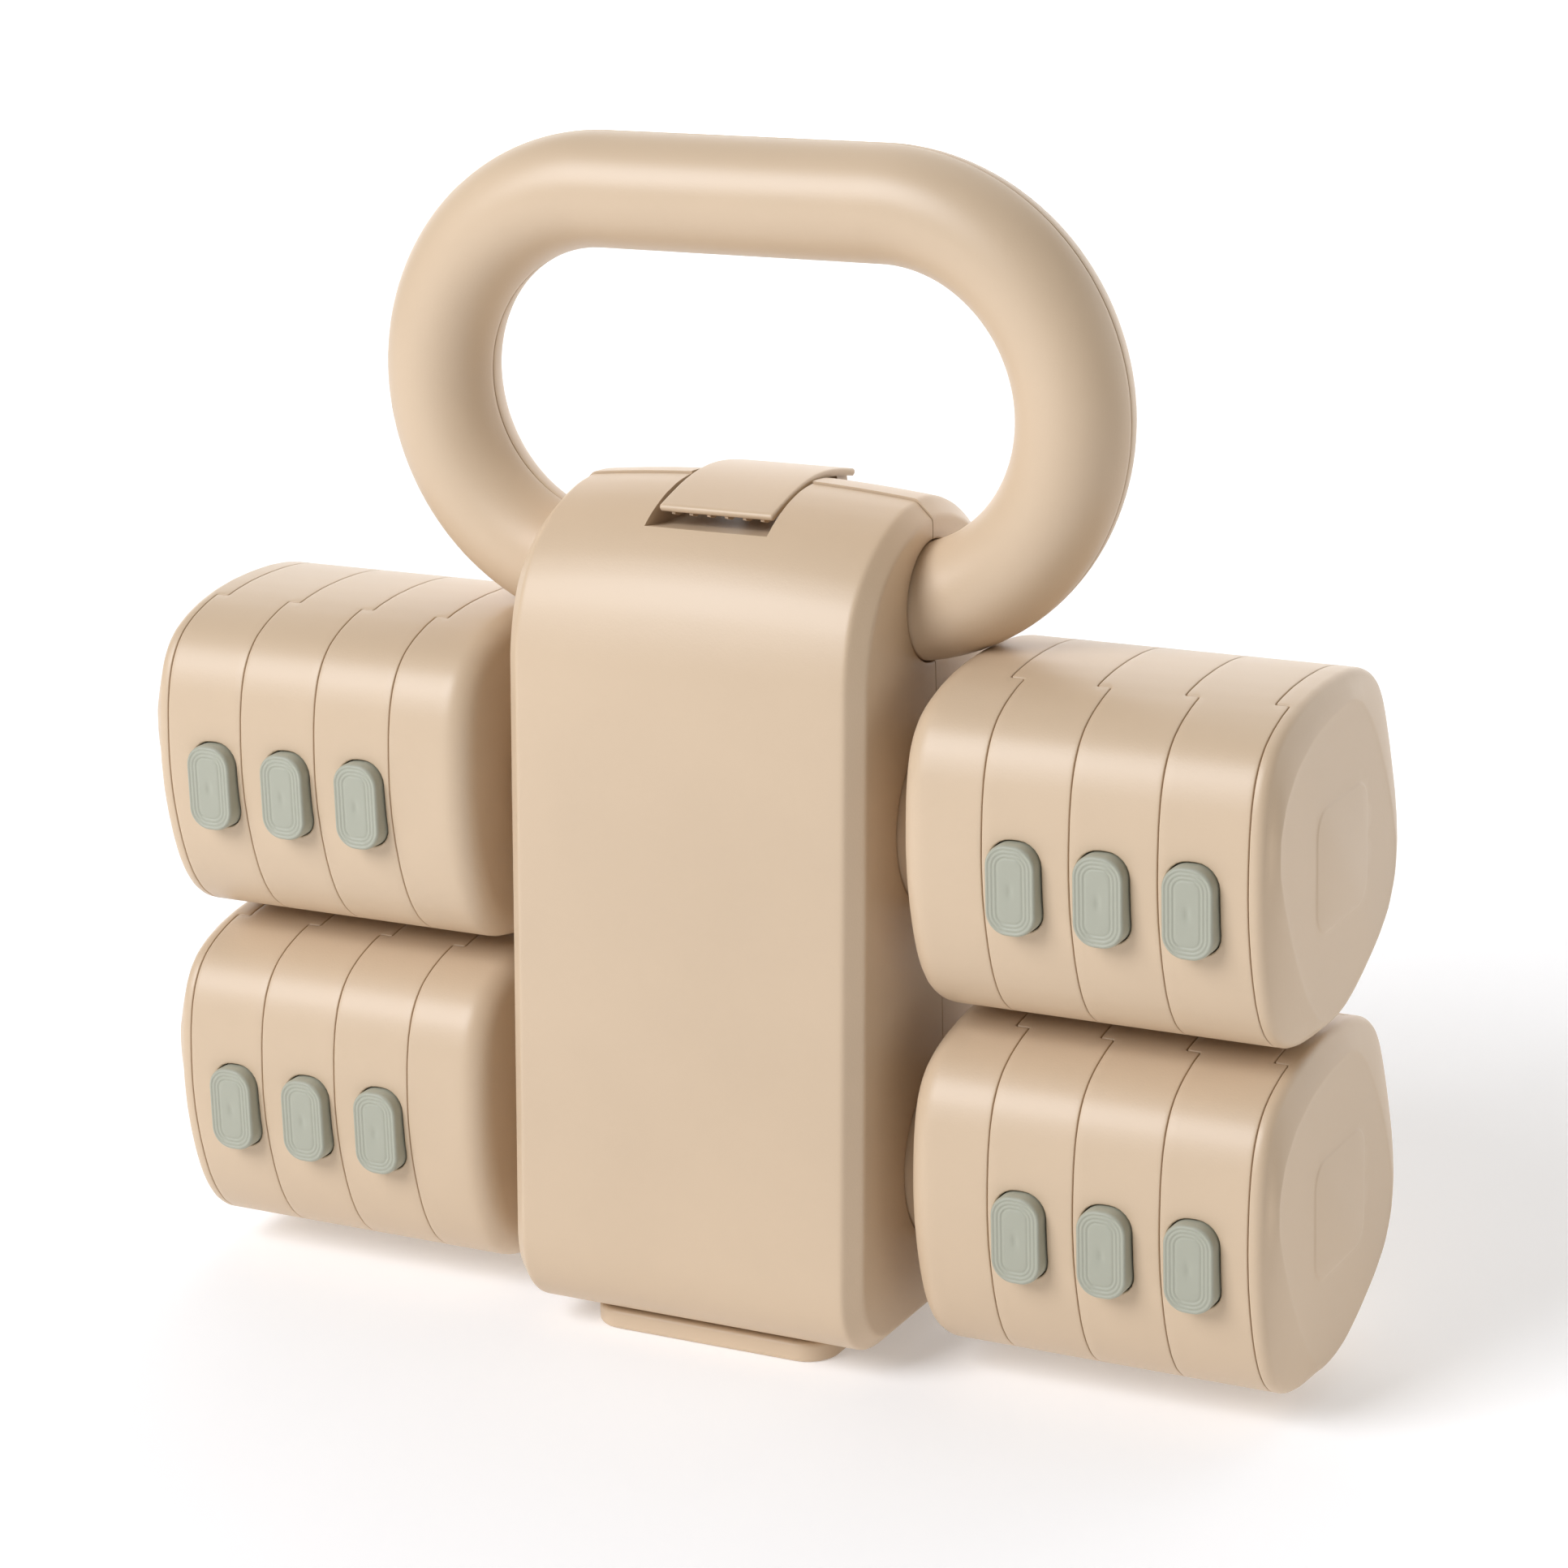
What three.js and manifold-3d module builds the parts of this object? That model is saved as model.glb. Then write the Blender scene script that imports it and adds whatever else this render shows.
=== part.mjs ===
// Adjustable free-weight set docked as a kettlebell: a clamshell housing with a
// ring handle holds two dumbbells crosswise, each with three plates a side.
// Millimetres. +X runs along the dumbbells, -Y is the front, +Z is up.
// The origin is the centre of the foot's underside.
import * as THREE from 'three';
import { mergeVertices } from 'three/addons/utils/BufferGeometryUtils.js';
import Module from 'manifold-3d';

const wasm = await Module();
wasm.setup();

// ---- driving dimensions ----
const GAP = 0.3; // between neighbouring solids
const LOWER_AXIS = 55.0; // height of the lower dumbbell's axis
const UPPER_AXIS = 158.5; // height of the upper dumbbell's axis
const FIRST_SEAM = 96.68; // hub to first plate
const PITCH = 26.32; // plate thickness with its gap
const PLATES = 3; // plates on each end of a dumbbell
const HUB_INNER = 70.5; // hub face towards the housing
const CAP_FACE = 182.9; // outer face of the end cap
const PLATE_WALL = 4.5; // casing wall
const WEB = 3.0; // casing's inner side wall
const HUB_WEB = 4.5;
const CORE_GAP = 0.4; // between a core and the wall round it
const FAR = 300; // beyond the whole object
const KEY = { half: 22.3, bottom: 22.0, depth: 4.2, clearance: 0.35 };
const SPIGOT = { radius: 12.0, drop: 8.0 };
const BUTTON = {
  width: 15.3, height: 26.4, corner: 6.5, shift: 3.1, face: 57.0, back: 42.0, travel: 3.0, springRoom: 1.5,
};
const HOUSING = { half: 58.2, flat: 53.2, inset: 5.0, wall: 3.0, crown: 3.0 };
const BOSS = { radius: 27.0, inner: 53.0 };
const DOCK_SLACK = 0.5; // round a docked dumbbell
const BAR = { radius: 9.0, end: 90.0, sleeveWall: 4.0, sleeveEnd: 1.5 };
const GRIP = { radius: 15.0, belly: 16.5, half: 50.0, edge: 1.5 };
const RIB = { x: 38.0, thickness: 3.0 };
const RING = { straight: 45.5, bend: 57.6, height: 279.3, radius: 17.0, wall: 3.5 };
const FOOT = { halfX: 40.0, halfY: 46.7, corner: 10.0, height: 6.0 };
const RECESS = { half: 20.5, front: 28.0, rear: 35.0, depth: 7.0 };
const LATCH = {
  half: 19.0, front: 20.0, rear: 32.5, proud: 1.2, under: 1.0,
  hingeY: 28.0, hingeDepth: 1.9, barrel: 2.8, pin: 1.5, pinHalf: 22.5, fit: 0.06,
};
const LATCH_ZONE = 225; // height above which the latch's cut-outs are made
const CROWN = { topFrom: 190, topTo: 245, frontFrom: 10, frontTo: 60, frontShare: 0.6, frontDepth: 55 };
// rounded edges as [distance along X, inset of the outline]
const HUB_EDGE = [[0, 8.0], [2.3, 2.4], [8.0, 0]];
const CAP_EDGE = [[0, 0], [2.4, 0.35], [5.0, 2.6]];
const CAP_FACE_INSET = 8.5;

// front half of the housing's side profile, from the bottom up, as [y, z]
const HOUSING_FRONT = [
  [-20, 6.3], [-40, 6.3], [-46.8, 7.5], [-52.6, 10.8], [-57, 15.6], [-59.6, 21.4], [-60.6, 28.5],
  [-57.6, 75], [-54.5, 122], [-51.6, 168], [-48.9, 209], [-47.4, 216], [-45.2, 223.2], [-41.9, 230],
  [-37.2, 236], [-31.5, 241], [-24.5, 245.6], [-16.3, 249.2], [-8.2, 251.3], [0, 252],
];
// front half of the plates' side profile about the dumbbell's axis, from the bottom up
const PLATE_FRONT = [
  [0, -48], [-22, -46.9], [-34, -43.6], [-42, -37], [-47.4, -27], [-51.4, -12], [-53.1, 5],
  [-52.6, 17], [-50.5, 29.6], [-46.3, 39], [-39.5, 45.2], [-28, 49.8], [-14, 52.3], [0, 53],
];
// the rest of it, from the top down the back, where it slopes in above and below
const PLATE_REAR = [
  [14, 52.3], [26, 50.1], [34, 46.2], [40.2, 39.5], [44.6, 30], [49.2, 17], [52.6, 5], [53.4, -4],
  [51.8, -15.5], [47, -25.5], [38, -33.6], [22, -42.1], [8, -47.4],
];

const COLOURS = { tan: 0xd9c0a0, sage: 0xb4b5a6, iron: 0x4a4a4c, steel: 0xb9bcc0, grip: 0xcdb595 };

// ---- solids ----
function toSolid(geometry) {
  const g = geometry.clone();
  g.deleteAttribute('normal');
  g.deleteAttribute('uv');
  const merged = mergeVertices(g, 1e-5);
  const triVerts = new Uint32Array(merged.index.array);
  const vertProperties = new Float32Array(merged.attributes.position.array);
  return new wasm.Manifold(new wasm.Mesh({ numProp: 3, vertProperties, triVerts }));
}

function toGeometry(solid) {
  const mesh = solid.getMesh();
  const g = new THREE.BufferGeometry();
  g.setAttribute('position', new THREE.BufferAttribute(new Float32Array(mesh.vertProperties), 3));
  g.setIndex(new THREE.BufferAttribute(new Uint32Array(mesh.triVerts), 1));
  return g;
}

function fromRings(rings, capped, flat) {
  const n = rings[0].length;
  const index = [];
  const last = capped ? rings.length - 1 : rings.length;
  for (let i = 0; i < last; i++) {
    const a = i * n;
    const b = ((i + 1) % rings.length) * n;
    for (let j = 0; j < n; j++) {
      const k = (j + 1) % n;
      index.push(a + j, a + k, b + k, a + j, b + k, b + j);
    }
  }
  if (capped) {
    for (const [base, turn] of [[0, true], [(rings.length - 1) * n, false]]) {
      const contour = rings[base / n].map(flat);
      const sense = THREE.ShapeUtils.isClockWise(contour);
      for (const [p, q, r] of THREE.ShapeUtils.triangulateShape(contour, [])) {
        index.push(...(turn !== sense ? [base + r, base + q, base + p] : [base + p, base + q, base + r]));
      }
    }
  }
  const points = rings.flat();
  let volume = 0;
  for (let i = 0; i < index.length; i += 3) {
    const [p, q, r] = [points[index[i]], points[index[i + 1]], points[index[i + 2]]];
    volume += p.dot(q.clone().cross(r));
  }
  if (volume < 0) index.reverse();
  const g = new THREE.BufferGeometry().setFromPoints(points);
  g.setIndex(index);
  return toSolid(g);
}

// sections of [y, z] points at stations along X
function loftX(sections) {
  const rings = sections.map(({ x, pts }) => pts.map(([y, z]) => new THREE.Vector3(x, y, z)));
  return fromRings(rings, true, (p) => new THREE.Vector2(p.y, p.z));
}

const prismX = (pts, x0, x1) => loftX([{ x: x0, pts }, { x: x1, pts }]);

function box(x0, x1, y0, y1, z0, z1) {
  const g = new THREE.BoxGeometry(Math.abs(x1 - x0), y1 - y0, z1 - z0);
  g.translate((x0 + x1) / 2, (y0 + y1) / 2, (z0 + z1) / 2);
  return toSolid(g);
}

function rodX(radius, x0, x1, y, z, segments = 24) {
  const g = new THREE.CylinderGeometry(radius, radius, Math.abs(x1 - x0), segments);
  g.rotateZ(Math.PI / 2);
  g.translate((x0 + x1) / 2, y, z);
  return toSolid(g);
}

function roundedRect(w, h, r) {
  const s = new THREE.Shape();
  s.absarc(w / 2 - r, h / 2 - r, r, 0, Math.PI / 2, false);
  s.absarc(-w / 2 + r, h / 2 - r, r, Math.PI / 2, Math.PI, false);
  s.absarc(-w / 2 + r, -h / 2 + r, r, Math.PI, 1.5 * Math.PI, false);
  s.absarc(w / 2 - r, -h / 2 + r, r, 1.5 * Math.PI, 2 * Math.PI, false);
  return s;
}

// a rounded block along Y, from the front y0 back to y1, centred at x and z
function blockY(w, h, r, y0, y1, x, z) {
  const g = new THREE.ExtrudeGeometry(roundedRect(w, h, r), {
    depth: y1 - y0,
    curveSegments: 2,
    bevelEnabled: false,
  });
  g.rotateX(Math.PI / 2);
  g.translate(x, y1, z);
  return toSolid(g);
}

// moves every point of a closed loop outwards by d
function offsetLoop(pts, d) {
  let area = 0;
  pts.forEach(([y, z], i) => {
    const [y2, z2] = pts[(i + 1) % pts.length];
    area += y * z2 - y2 * z;
  });
  const sense = Math.sign(area);
  return pts.map(([y, z], i) => {
    const [ya, za] = pts[(i + pts.length - 1) % pts.length];
    const [yb, zb] = pts[(i + 1) % pts.length];
    const length = Math.hypot(yb - ya, zb - za);
    return [y + (sense * d * (zb - za)) / length, z - (sense * d * (yb - ya)) / length];
  });
}

// closes a front half profile with its mirror image behind
function mirrored(front) {
  const rear = front.filter(([y]) => y !== 0).map(([y, z]) => [-y, z]);
  return [...front, ...rear.reverse()];
}

const PLATE = [...PLATE_FRONT, ...PLATE_REAR];
const POCKET = PLATE.filter((_, i) => i % 2 === 0);
const lift = (pts, z0) => pts.map(([y, z]) => [y, z + z0]);

// ---- housing ----
// side profile at a distance x from the middle: crowned, and inset over the edge chamfer
function housingLoop(x, inset) {
  const t = Math.min(Math.abs(x) / HOUSING.flat, 1);
  const crown = HOUSING.crown * (1 - t * t);
  const pts = HOUSING_FRONT.map(([y, z]) => {
    const top = THREE.MathUtils.smoothstep(z, CROWN.topFrom, CROWN.topTo);
    const front = THREE.MathUtils.smoothstep(z, CROWN.frontFrom, CROWN.frontTo) * CROWN.frontShare;
    return [y * (1 + (front * crown * (1 - top)) / CROWN.frontDepth), z + top * crown];
  });
  return offsetLoop(mirrored(pts), -inset);
}

function housingBody(inset, half, chamfer) {
  const flat = half - chamfer;
  const stations = [-half, -flat, -flat * 0.62, 0, flat * 0.62, flat, half];
  return loftX(stations.map((x) => {
    return { x, pts: housingLoop(x, Math.abs(x) > flat + 0.01 ? inset + chamfer : inset) };
  }));
}

// stations round the ring handle's centre line: position, and the direction out of the loop
function ringStations(steps) {
  const list = [];
  for (const [side, start] of [[1, -Math.PI / 2], [-1, Math.PI / 2]]) {
    for (let i = 0; i <= steps; i++) {
      const a = start + (Math.PI * i) / steps;
      const out = new THREE.Vector3(Math.cos(a), 0, Math.sin(a));
      const centre = new THREE.Vector3(side * RING.straight, 0, RING.height);
      list.push({ at: centre.addScaledVector(out, RING.bend), out });
    }
  }
  return list;
}

function sweepRing(section) {
  return fromRings(ringStations(10).map(({ at, out }) => section.map(([u, v]) => {
    return at.clone().addScaledVector(out, u).add(new THREE.Vector3(0, v, 0));
  })), false);
}

const arc = (r, a0, a1, n) => Array.from({ length: n + 1 }, (_, i) => {
  const a = a0 + ((a1 - a0) * i) / n;
  return [r * Math.cos(a), r * Math.sin(a)];
});

function ringHalf(side) {
  const lean = (r) => Math.asin((GAP / 2) / r);
  const [ro, ri] = [RING.radius, RING.radius - RING.wall];
  const outer = arc(ro, lean(ro), Math.PI - lean(ro), 8);
  const inner = arc(ri, Math.PI - lean(ri), lean(ri), 4);
  return sweepRing([...outer, ...inner].map(([u, v]) => [u, side * v]));
}

const ringTool = sweepRing(arc(RING.radius + 2 * GAP, 0, 2 * Math.PI, 16).slice(0, -1));
const loopTop = housingLoop(0, 0);

// the latch's channel across the top, with its floor
const recessTool = box(-RECESS.half, RECESS.half, -RECESS.front, RECESS.rear, LATCH_ZONE, FAR)
  .subtract(prismX(offsetLoop(loopTop, -RECESS.depth), -RECESS.half - 1, RECESS.half + 1));

const hinge = (() => {
  const inner = offsetLoop(loopTop, -LATCH.hingeDepth)
    .filter(([y, z]) => y > 0 && z > LATCH_ZONE)
    .sort((a, b) => a[0] - b[0]);
  const k = inner.findIndex(([y]) => y > LATCH.hingeY);
  const [[y0, z0], [y1, z1]] = [inner[k - 1], inner[k]];
  return { y: LATCH.hingeY, z: z0 + ((z1 - z0) * (LATCH.hingeY - y0)) / (y1 - y0) };
})();

function shell(side) {
  const [y0, y1] = side < 0 ? [-FAR, -GAP / 2] : [GAP / 2, FAR];
  const { wall } = HOUSING;
  const cavity = housingBody(wall, HOUSING.half - wall, HOUSING.inset - 1);
  const half = RECESS.half + wall;
  const channel = box(-half, half, -RECESS.front - wall, RECESS.rear + wall, LATCH_ZONE, FAR)
    .subtract(prismX(offsetLoop(loopTop, -RECESS.depth - wall), -half - 1, half + 1));
  let inside = cavity.subtract(channel);
  for (const x of [-RIB.x, RIB.x]) {
    inside = inside.subtract(box(x - RIB.thickness / 2, x + RIB.thickness / 2, -FAR, FAR, 0, FAR));
  }
  let body = housingBody(0, HOUSING.half, HOUSING.inset).subtract(inside).subtract(recessTool);
  for (const z of [LOWER_AXIS, UPPER_AXIS]) {
    for (const end of [-1, 1]) {
      const seat = rodX(BOSS.radius + DOCK_SLACK, end * (RIB.x + wall), end * (HOUSING.half + 1), 0, z, 32);
      body = body.subtract(seat);
    }
    body = body.subtract(rodX(GRIP.belly + DOCK_SLACK, -GRIP.half, GRIP.half, 0, z));
  }
  if (side > 0) {
    const seat = LATCH.pinHalf + 0.5;
    body = body.subtract(rodX(LATCH.pin + LATCH.fit, -seat, seat, hinge.y, hinge.z, 16));
  }
  return body.subtract(ringTool).intersect(box(-FAR, FAR, y0, y1, 0, FAR));
}

// ---- latch ----
function latchSolid() {
  const plate = prismX(offsetLoop(loopTop, LATCH.proud), -LATCH.half, LATCH.half)
    .subtract(prismX(offsetLoop(loopTop, -LATCH.under), -LATCH.half - 1, LATCH.half + 1))
    .intersect(box(-LATCH.half, LATCH.half, -LATCH.front, LATCH.rear, LATCH_ZONE, FAR));
  const barrel = rodX(LATCH.barrel, -LATCH.half + 2, LATCH.half - 2, hinge.y, hinge.z, 20);
  const bore = rodX(LATCH.pin + LATCH.fit, -LATCH.half - 1, LATCH.half + 1, hinge.y, hinge.z, 16);
  return plate.add(barrel).subtract(bore);
}

// ---- dumbbells ----
// the key and spigot that a plate, or the cap, pushes into its inner neighbour
function coupling(side, x, z, slack) {
  const depth = KEY.depth + slack;
  const lower = z + KEY.bottom - slack;
  const half = KEY.half + slack;
  const key = box(side * (x - depth), side * (x + 1), -half, half, lower, FAR);
  return key.add(rodX(SPIGOT.radius + slack, side * (x - depth), side * (x + 1), 0, z - SPIGOT.drop, 12));
}

function withCoupling(body, side, x, z) {
  const limit = prismX(lift(PLATE, z), side * (x - KEY.depth), side * (x + 1));
  return body.add(coupling(side, x, z, 0).intersect(limit));
}

// the hollow that takes a core: the plates' outline with every other corner, moved inwards
const pocket = (side, x0, x1, z, inset) => prismX(lift(offsetLoop(POCKET, -inset), z), side * x0, side * x1);

function plateParts(side, z, i) {
  const x0 = FIRST_SEAM + PITCH * i + GAP / 2;
  const x1 = FIRST_SEAM + PITCH * (i + 1) - GAP / 2;
  const xb = side * ((x0 + x1) / 2 - BUTTON.shift);
  const socket = coupling(side, x1, z, KEY.clearance);
  const bottom = -BUTTON.back + BUTTON.travel + BUTTON.springRoom;
  const slot = blockY(BUTTON.width + 2 * GAP, BUTTON.height + 2 * GAP, BUTTON.corner, -FAR, bottom, xb, z);
  const well = blockY(BUTTON.width + 3 * GAP, BUTTON.height + 3 * GAP, BUTTON.corner, -FAR, bottom, xb, z);
  const casing = withCoupling(prismX(lift(PLATE, z), side * x0, side * x1), side, x0, z)
    .subtract(pocket(side, x0 + WEB, x1 + 1, z, PLATE_WALL))
    .subtract(socket)
    .subtract(slot);
  const core = pocket(side, x0 + WEB + GAP, x1 - GAP, z, PLATE_WALL + CORE_GAP)
    .subtract(socket)
    .subtract(well);
  const button = blockY(BUTTON.width, BUTTON.height, BUTTON.corner, -BUTTON.face, -BUTTON.back, xb, z);
  return { casing, core, button };
}

function hubParts(side, z) {
  const x1 = FIRST_SEAM - GAP / 2;
  const sections = HUB_EDGE.map(([dx, inset]) => {
    return { x: side * (HUB_INNER + dx), pts: lift(offsetLoop(PLATE, -inset), z) };
  });
  const body = loftX([...sections, { x: side * x1, pts: lift(PLATE, z) }]);
  const socket = coupling(side, x1, z, KEY.clearance);
  const sleeveRadius = BAR.radius + BAR.sleeveWall;
  const sleeveEnd = BAR.end + BAR.sleeveEnd;
  const sleeve = rodX(sleeveRadius, side * (HUB_INNER + 3), side * sleeveEnd, 0, z, 20);
  const bore = rodX(BAR.radius + GAP, side * (BOSS.inner - 3), side * (BAR.end + GAP), 0, z, 20);
  const hub = body.add(rodX(BOSS.radius, side * BOSS.inner, side * (HUB_INNER + 1), 0, z, 32))
    .subtract(pocket(side, HUB_INNER + HUB_WEB, x1 + 1, z, PLATE_WALL))
    .add(sleeve)
    .subtract(socket)
    .subtract(bore);
  const core = pocket(side, HUB_INNER + HUB_WEB + GAP, x1 - GAP, z, PLATE_WALL + CORE_GAP)
    .subtract(rodX(sleeveRadius + GAP, side * HUB_INNER, side * (sleeveEnd + 1.5), 0, z, 20))
    .subtract(socket);
  return { hub, core };
}

function capSolid(side, z) {
  const x0 = FIRST_SEAM + PITCH * PLATES + GAP / 2;
  const sections = [...CAP_EDGE, [CAP_FACE - x0, CAP_FACE_INSET]];
  const body = loftX(sections.map(([dx, inset]) => {
    return { x: side * (x0 + dx), pts: lift(offsetLoop(PLATE, -inset), z) };
  }));
  return withCoupling(body, side, x0, z);
}

function gripSolid(z) {
  const { radius, belly, half, edge } = GRIP;
  const bore = BAR.radius + GAP;
  const swell = (radius + belly) / 2;
  const profile = [[bore, -half], [radius - 1, -half], [radius, -half + edge], [swell, -half / 2], [belly, 0],
    [swell, half / 2], [radius, half - edge], [radius - 1, half], [bore, half]];
  const pts = profile.map(([r, y]) => new THREE.Vector2(r, y));
  const g = new THREE.LatheGeometry([...pts, pts[0].clone()], 20);
  g.rotateZ(-Math.PI / 2);
  g.translate(0, 0, z);
  return toSolid(g);
}

// ---- assembly ----
const object = new THREE.Group();

function place(name, solid, colour, roughness, metalness = 0) {
  const material = new THREE.MeshStandardMaterial({ color: colour, roughness, metalness });
  const mesh = new THREE.Mesh(toGeometry(solid), material);
  mesh.name = name;
  object.add(mesh);
}

const plastic = (name, solid) => place(name, solid, COLOURS.tan, 0.45);

plastic('front_shell', shell(-1));
plastic('rear_shell', shell(1));
plastic('handle_front_half', ringHalf(-1));
plastic('handle_rear_half', ringHalf(1));
plastic('latch', latchSolid());
const pin = rodX(LATCH.pin, -LATCH.pinHalf, LATCH.pinHalf, hinge.y, hinge.z, 16);
place('latch_pin', pin, COLOURS.steel, 0.3, 1);

const footShape = roundedRect(2 * FOOT.halfX, 2 * FOOT.halfY, FOOT.corner);
const footGeometry = new THREE.ExtrudeGeometry(footShape, {
  depth: FOOT.height,
  curveSegments: 6,
  bevelEnabled: false,
});
plastic('foot_pad', toSolid(footGeometry));

for (const [bell, z] of [['upper', UPPER_AXIS], ['lower', LOWER_AXIS]]) {
  place(`${bell}_bar`, rodX(BAR.radius, -BAR.end, BAR.end, 0, z, 20), COLOURS.steel, 0.3, 1);
  place(`${bell}_grip`, gripSolid(z), COLOURS.grip, 0.7);
  for (const [end, side] of [['left', -1], ['right', 1]]) {
    const { hub, core } = hubParts(side, z);
    plastic(`${bell}_${end}_hub`, hub);
    place(`${bell}_${end}_hub_core`, core, COLOURS.iron, 0.6, 0.6);
    for (let i = 0; i < PLATES; i++) {
      const name = `${bell}_${end}_plate_${i + 1}`;
      const parts = plateParts(side, z, i);
      plastic(name, parts.casing);
      place(`${name}_core`, parts.core, COLOURS.iron, 0.6, 0.6);
      place(`${name}_button`, parts.button, COLOURS.sage, 0.5);
    }
    plastic(`${bell}_${end}_end_cap`, capSolid(side, z));
  }
}

export default object;
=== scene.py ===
"""An adjustable free-weight set docked as a kettlebell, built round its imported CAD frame.

Lengths in the modelling functions are millimetres, in the CAD's own frame: +X along the dumbbells,
-Y the front, +Z up, with the origin under the foot. Shape.mesh() turns them into metres.
"""
import math

import bpy
import bmesh
import numpy as np
from mathutils import Matrix, Vector
from mathutils.geometry import delaunay_2d_cdt


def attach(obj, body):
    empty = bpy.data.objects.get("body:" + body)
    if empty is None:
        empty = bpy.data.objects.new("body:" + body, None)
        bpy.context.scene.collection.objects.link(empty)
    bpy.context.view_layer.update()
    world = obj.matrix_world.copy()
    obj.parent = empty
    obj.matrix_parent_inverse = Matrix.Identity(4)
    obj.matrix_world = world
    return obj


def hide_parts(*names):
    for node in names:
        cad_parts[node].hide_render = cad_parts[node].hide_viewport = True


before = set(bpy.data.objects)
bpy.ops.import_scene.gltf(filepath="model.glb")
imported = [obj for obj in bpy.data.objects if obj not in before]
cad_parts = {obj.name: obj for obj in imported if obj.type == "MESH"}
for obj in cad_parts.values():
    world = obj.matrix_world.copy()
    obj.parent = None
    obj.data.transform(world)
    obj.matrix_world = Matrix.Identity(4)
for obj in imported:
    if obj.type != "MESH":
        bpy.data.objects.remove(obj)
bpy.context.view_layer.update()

# ---- driving dimensions ----
MM = 0.001
AXES = {"upper": 158.5, "lower": 55.0}  # heights of the dumbbells' axes
ENDS = {"right": 1, "left": -1}
FIRST_SEAM = 96.68  # hub to first plate
PITCH = 26.32  # one plate with its gap
PLATES = 3  # on each end of a dumbbell
GAP = 0.30
PLATE_WIDTH = PITCH - GAP
WALL = 4.5  # casing wall
PLATE_WEB, HUB_WEB = 3.0, 4.5  # the casings' inner side walls
HUB_INNER = 70.5
HUB_ROUND = 8.0
CAP_FACE = 182.9
KEY_HALF, KEY_BOTTOM, KEY_DEPTH, KEY_SLACK = 22.3, 22.0, 4.2, 0.35
SPIGOT_R, SPIGOT_DROP = 11.8, 8.0
BUTTON_W, BUTTON_H, BUTTON_R, BUTTON_SHIFT = 15.3, 26.4, 6.6, 3.1
BUTTON_FACE, BUTTON_BACK, BUTTON_SLACK = 56.8, 42.0, 0.45
BUTTON_Z, SLOT_FLOOR = -0.3, 37.5  # the button's height from the axis; how far in front of it the slot ends
# the button's ripples: how many, levels in each, inset and fall of a level, and their depth
RIPPLES, RIPPLE_STEPS, RIPPLE_STEP, RIPPLE_DISH, RIPPLE_DEPTH = 3, 6, 0.195, 0.011, 0.22
BUTTON_RIM, DIMPLE = 0.8, 0.45  # the flat rim's inset, and the depth of the dimple in the middle
HALF, FLAT, CHAMFER = 58.2, 53.2, 5.0  # housing: half width, start of the edge chamfer, its size
SHELL = 3.0
TOP_CROWN, FRONT_CROWN_SHARE = 3.0, 0.6  # the housing's bulge on top, and its share on front and back
SEAM_HALF = 0.22  # half the gap between the housing's shells
RIB_X, RIB_HALF, RIB_REACH = 38.0, 1.5, 80.0
BEYOND, ABOVE, BELOW = 90.0, 300.0, -5.0  # past the housing's sides, over it and under it
BOSS_R, BOSS_INNER = 27.0, 53.0
RING_STRAIGHT, RING_BEND, RING_Z, RING_R, RING_WALL = 45.5, 57.6, 279.3, 17.0, 3.5
RING_ROOM_R, RING_ROOM_HALF = 17.6, 50.0  # the ring's bar through the housing
FOOT_X, FOOT_Y, FOOT_CORNER = 40.0, 46.7, 10.0
RECESS_HALF = 19.9
LATCH_HALF, LATCH_THICK = 18.6, 2.2
HINGE_Y, HINGE_Z = 28.0, 244.01
BAR_R, BAR_END = 9.0, 90.0
BORE_SLACK = 0.3  # of the grip round its rod
GRIP_R, GRIP_BELLY, GRIP_HALF = 15.0, 1.5, 50.0
GRIP_ROOM_R, GRIP_ROOM_HALF = 17.0, 49.0
PIN_R, PIN_HALF, PIN_SLACK = 1.5, 22.5, 0.15
KNUCKLE_R, KNUCKLE_HALF, KNUCKLE_X = 2.8, 4.0, 12.0
SHARP = 38  # degrees; edges sharper than this stay crisp

HOUSING_FRONT = [
    (-20, 6.3), (-40, 6.3), (-46.8, 7.5), (-52.6, 10.8), (-57, 15.6), (-59.6, 21.4), (-60.6, 28.5),
    (-57.6, 75), (-54.5, 122), (-51.6, 168), (-48.9, 209), (-47.4, 216), (-45.2, 223.2), (-41.9, 230),
    (-37.2, 236), (-31.5, 241), (-24.5, 245.6), (-16.3, 249.2), (-8.2, 251.3), (0, 252),
]
PLATE_FRONT = [
    (0, -48), (-12, -47.7), (-22, -46.9), (-30, -45.2), (-36, -42.4), (-40.8, -38.4), (-44.6, -33),
    (-47.4, -27), (-49.6, -20), (-51.4, -12), (-52.6, -4), (-53.1, 5), (-52.8, 13), (-52, 22),
    (-50.5, 29.6), (-48.3, 35.6), (-45.2, 40.4), (-41, 44.3), (-35.3, 47.3), (-28, 49.8), (-19, 51.7),
    (-10, 52.7), (0, 53),
]
PLATE_REAR = [
    (10, 52.7), (18, 51.8), (25.5, 50.2), (32, 47.6), (37, 43.8), (40.7, 38.8), (43.6, 32.5), (46.8, 24),
    (49.6, 15.5), (52, 7.5), (53.4, 0), (53.4, -7.5), (51.9, -15.5), (48.8, -22.6), (44.3, -28.6),
    (38, -33.6), (30, -38.2), (21, -42.6), (13, -45.9), (6, -47.6),
]


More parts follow.
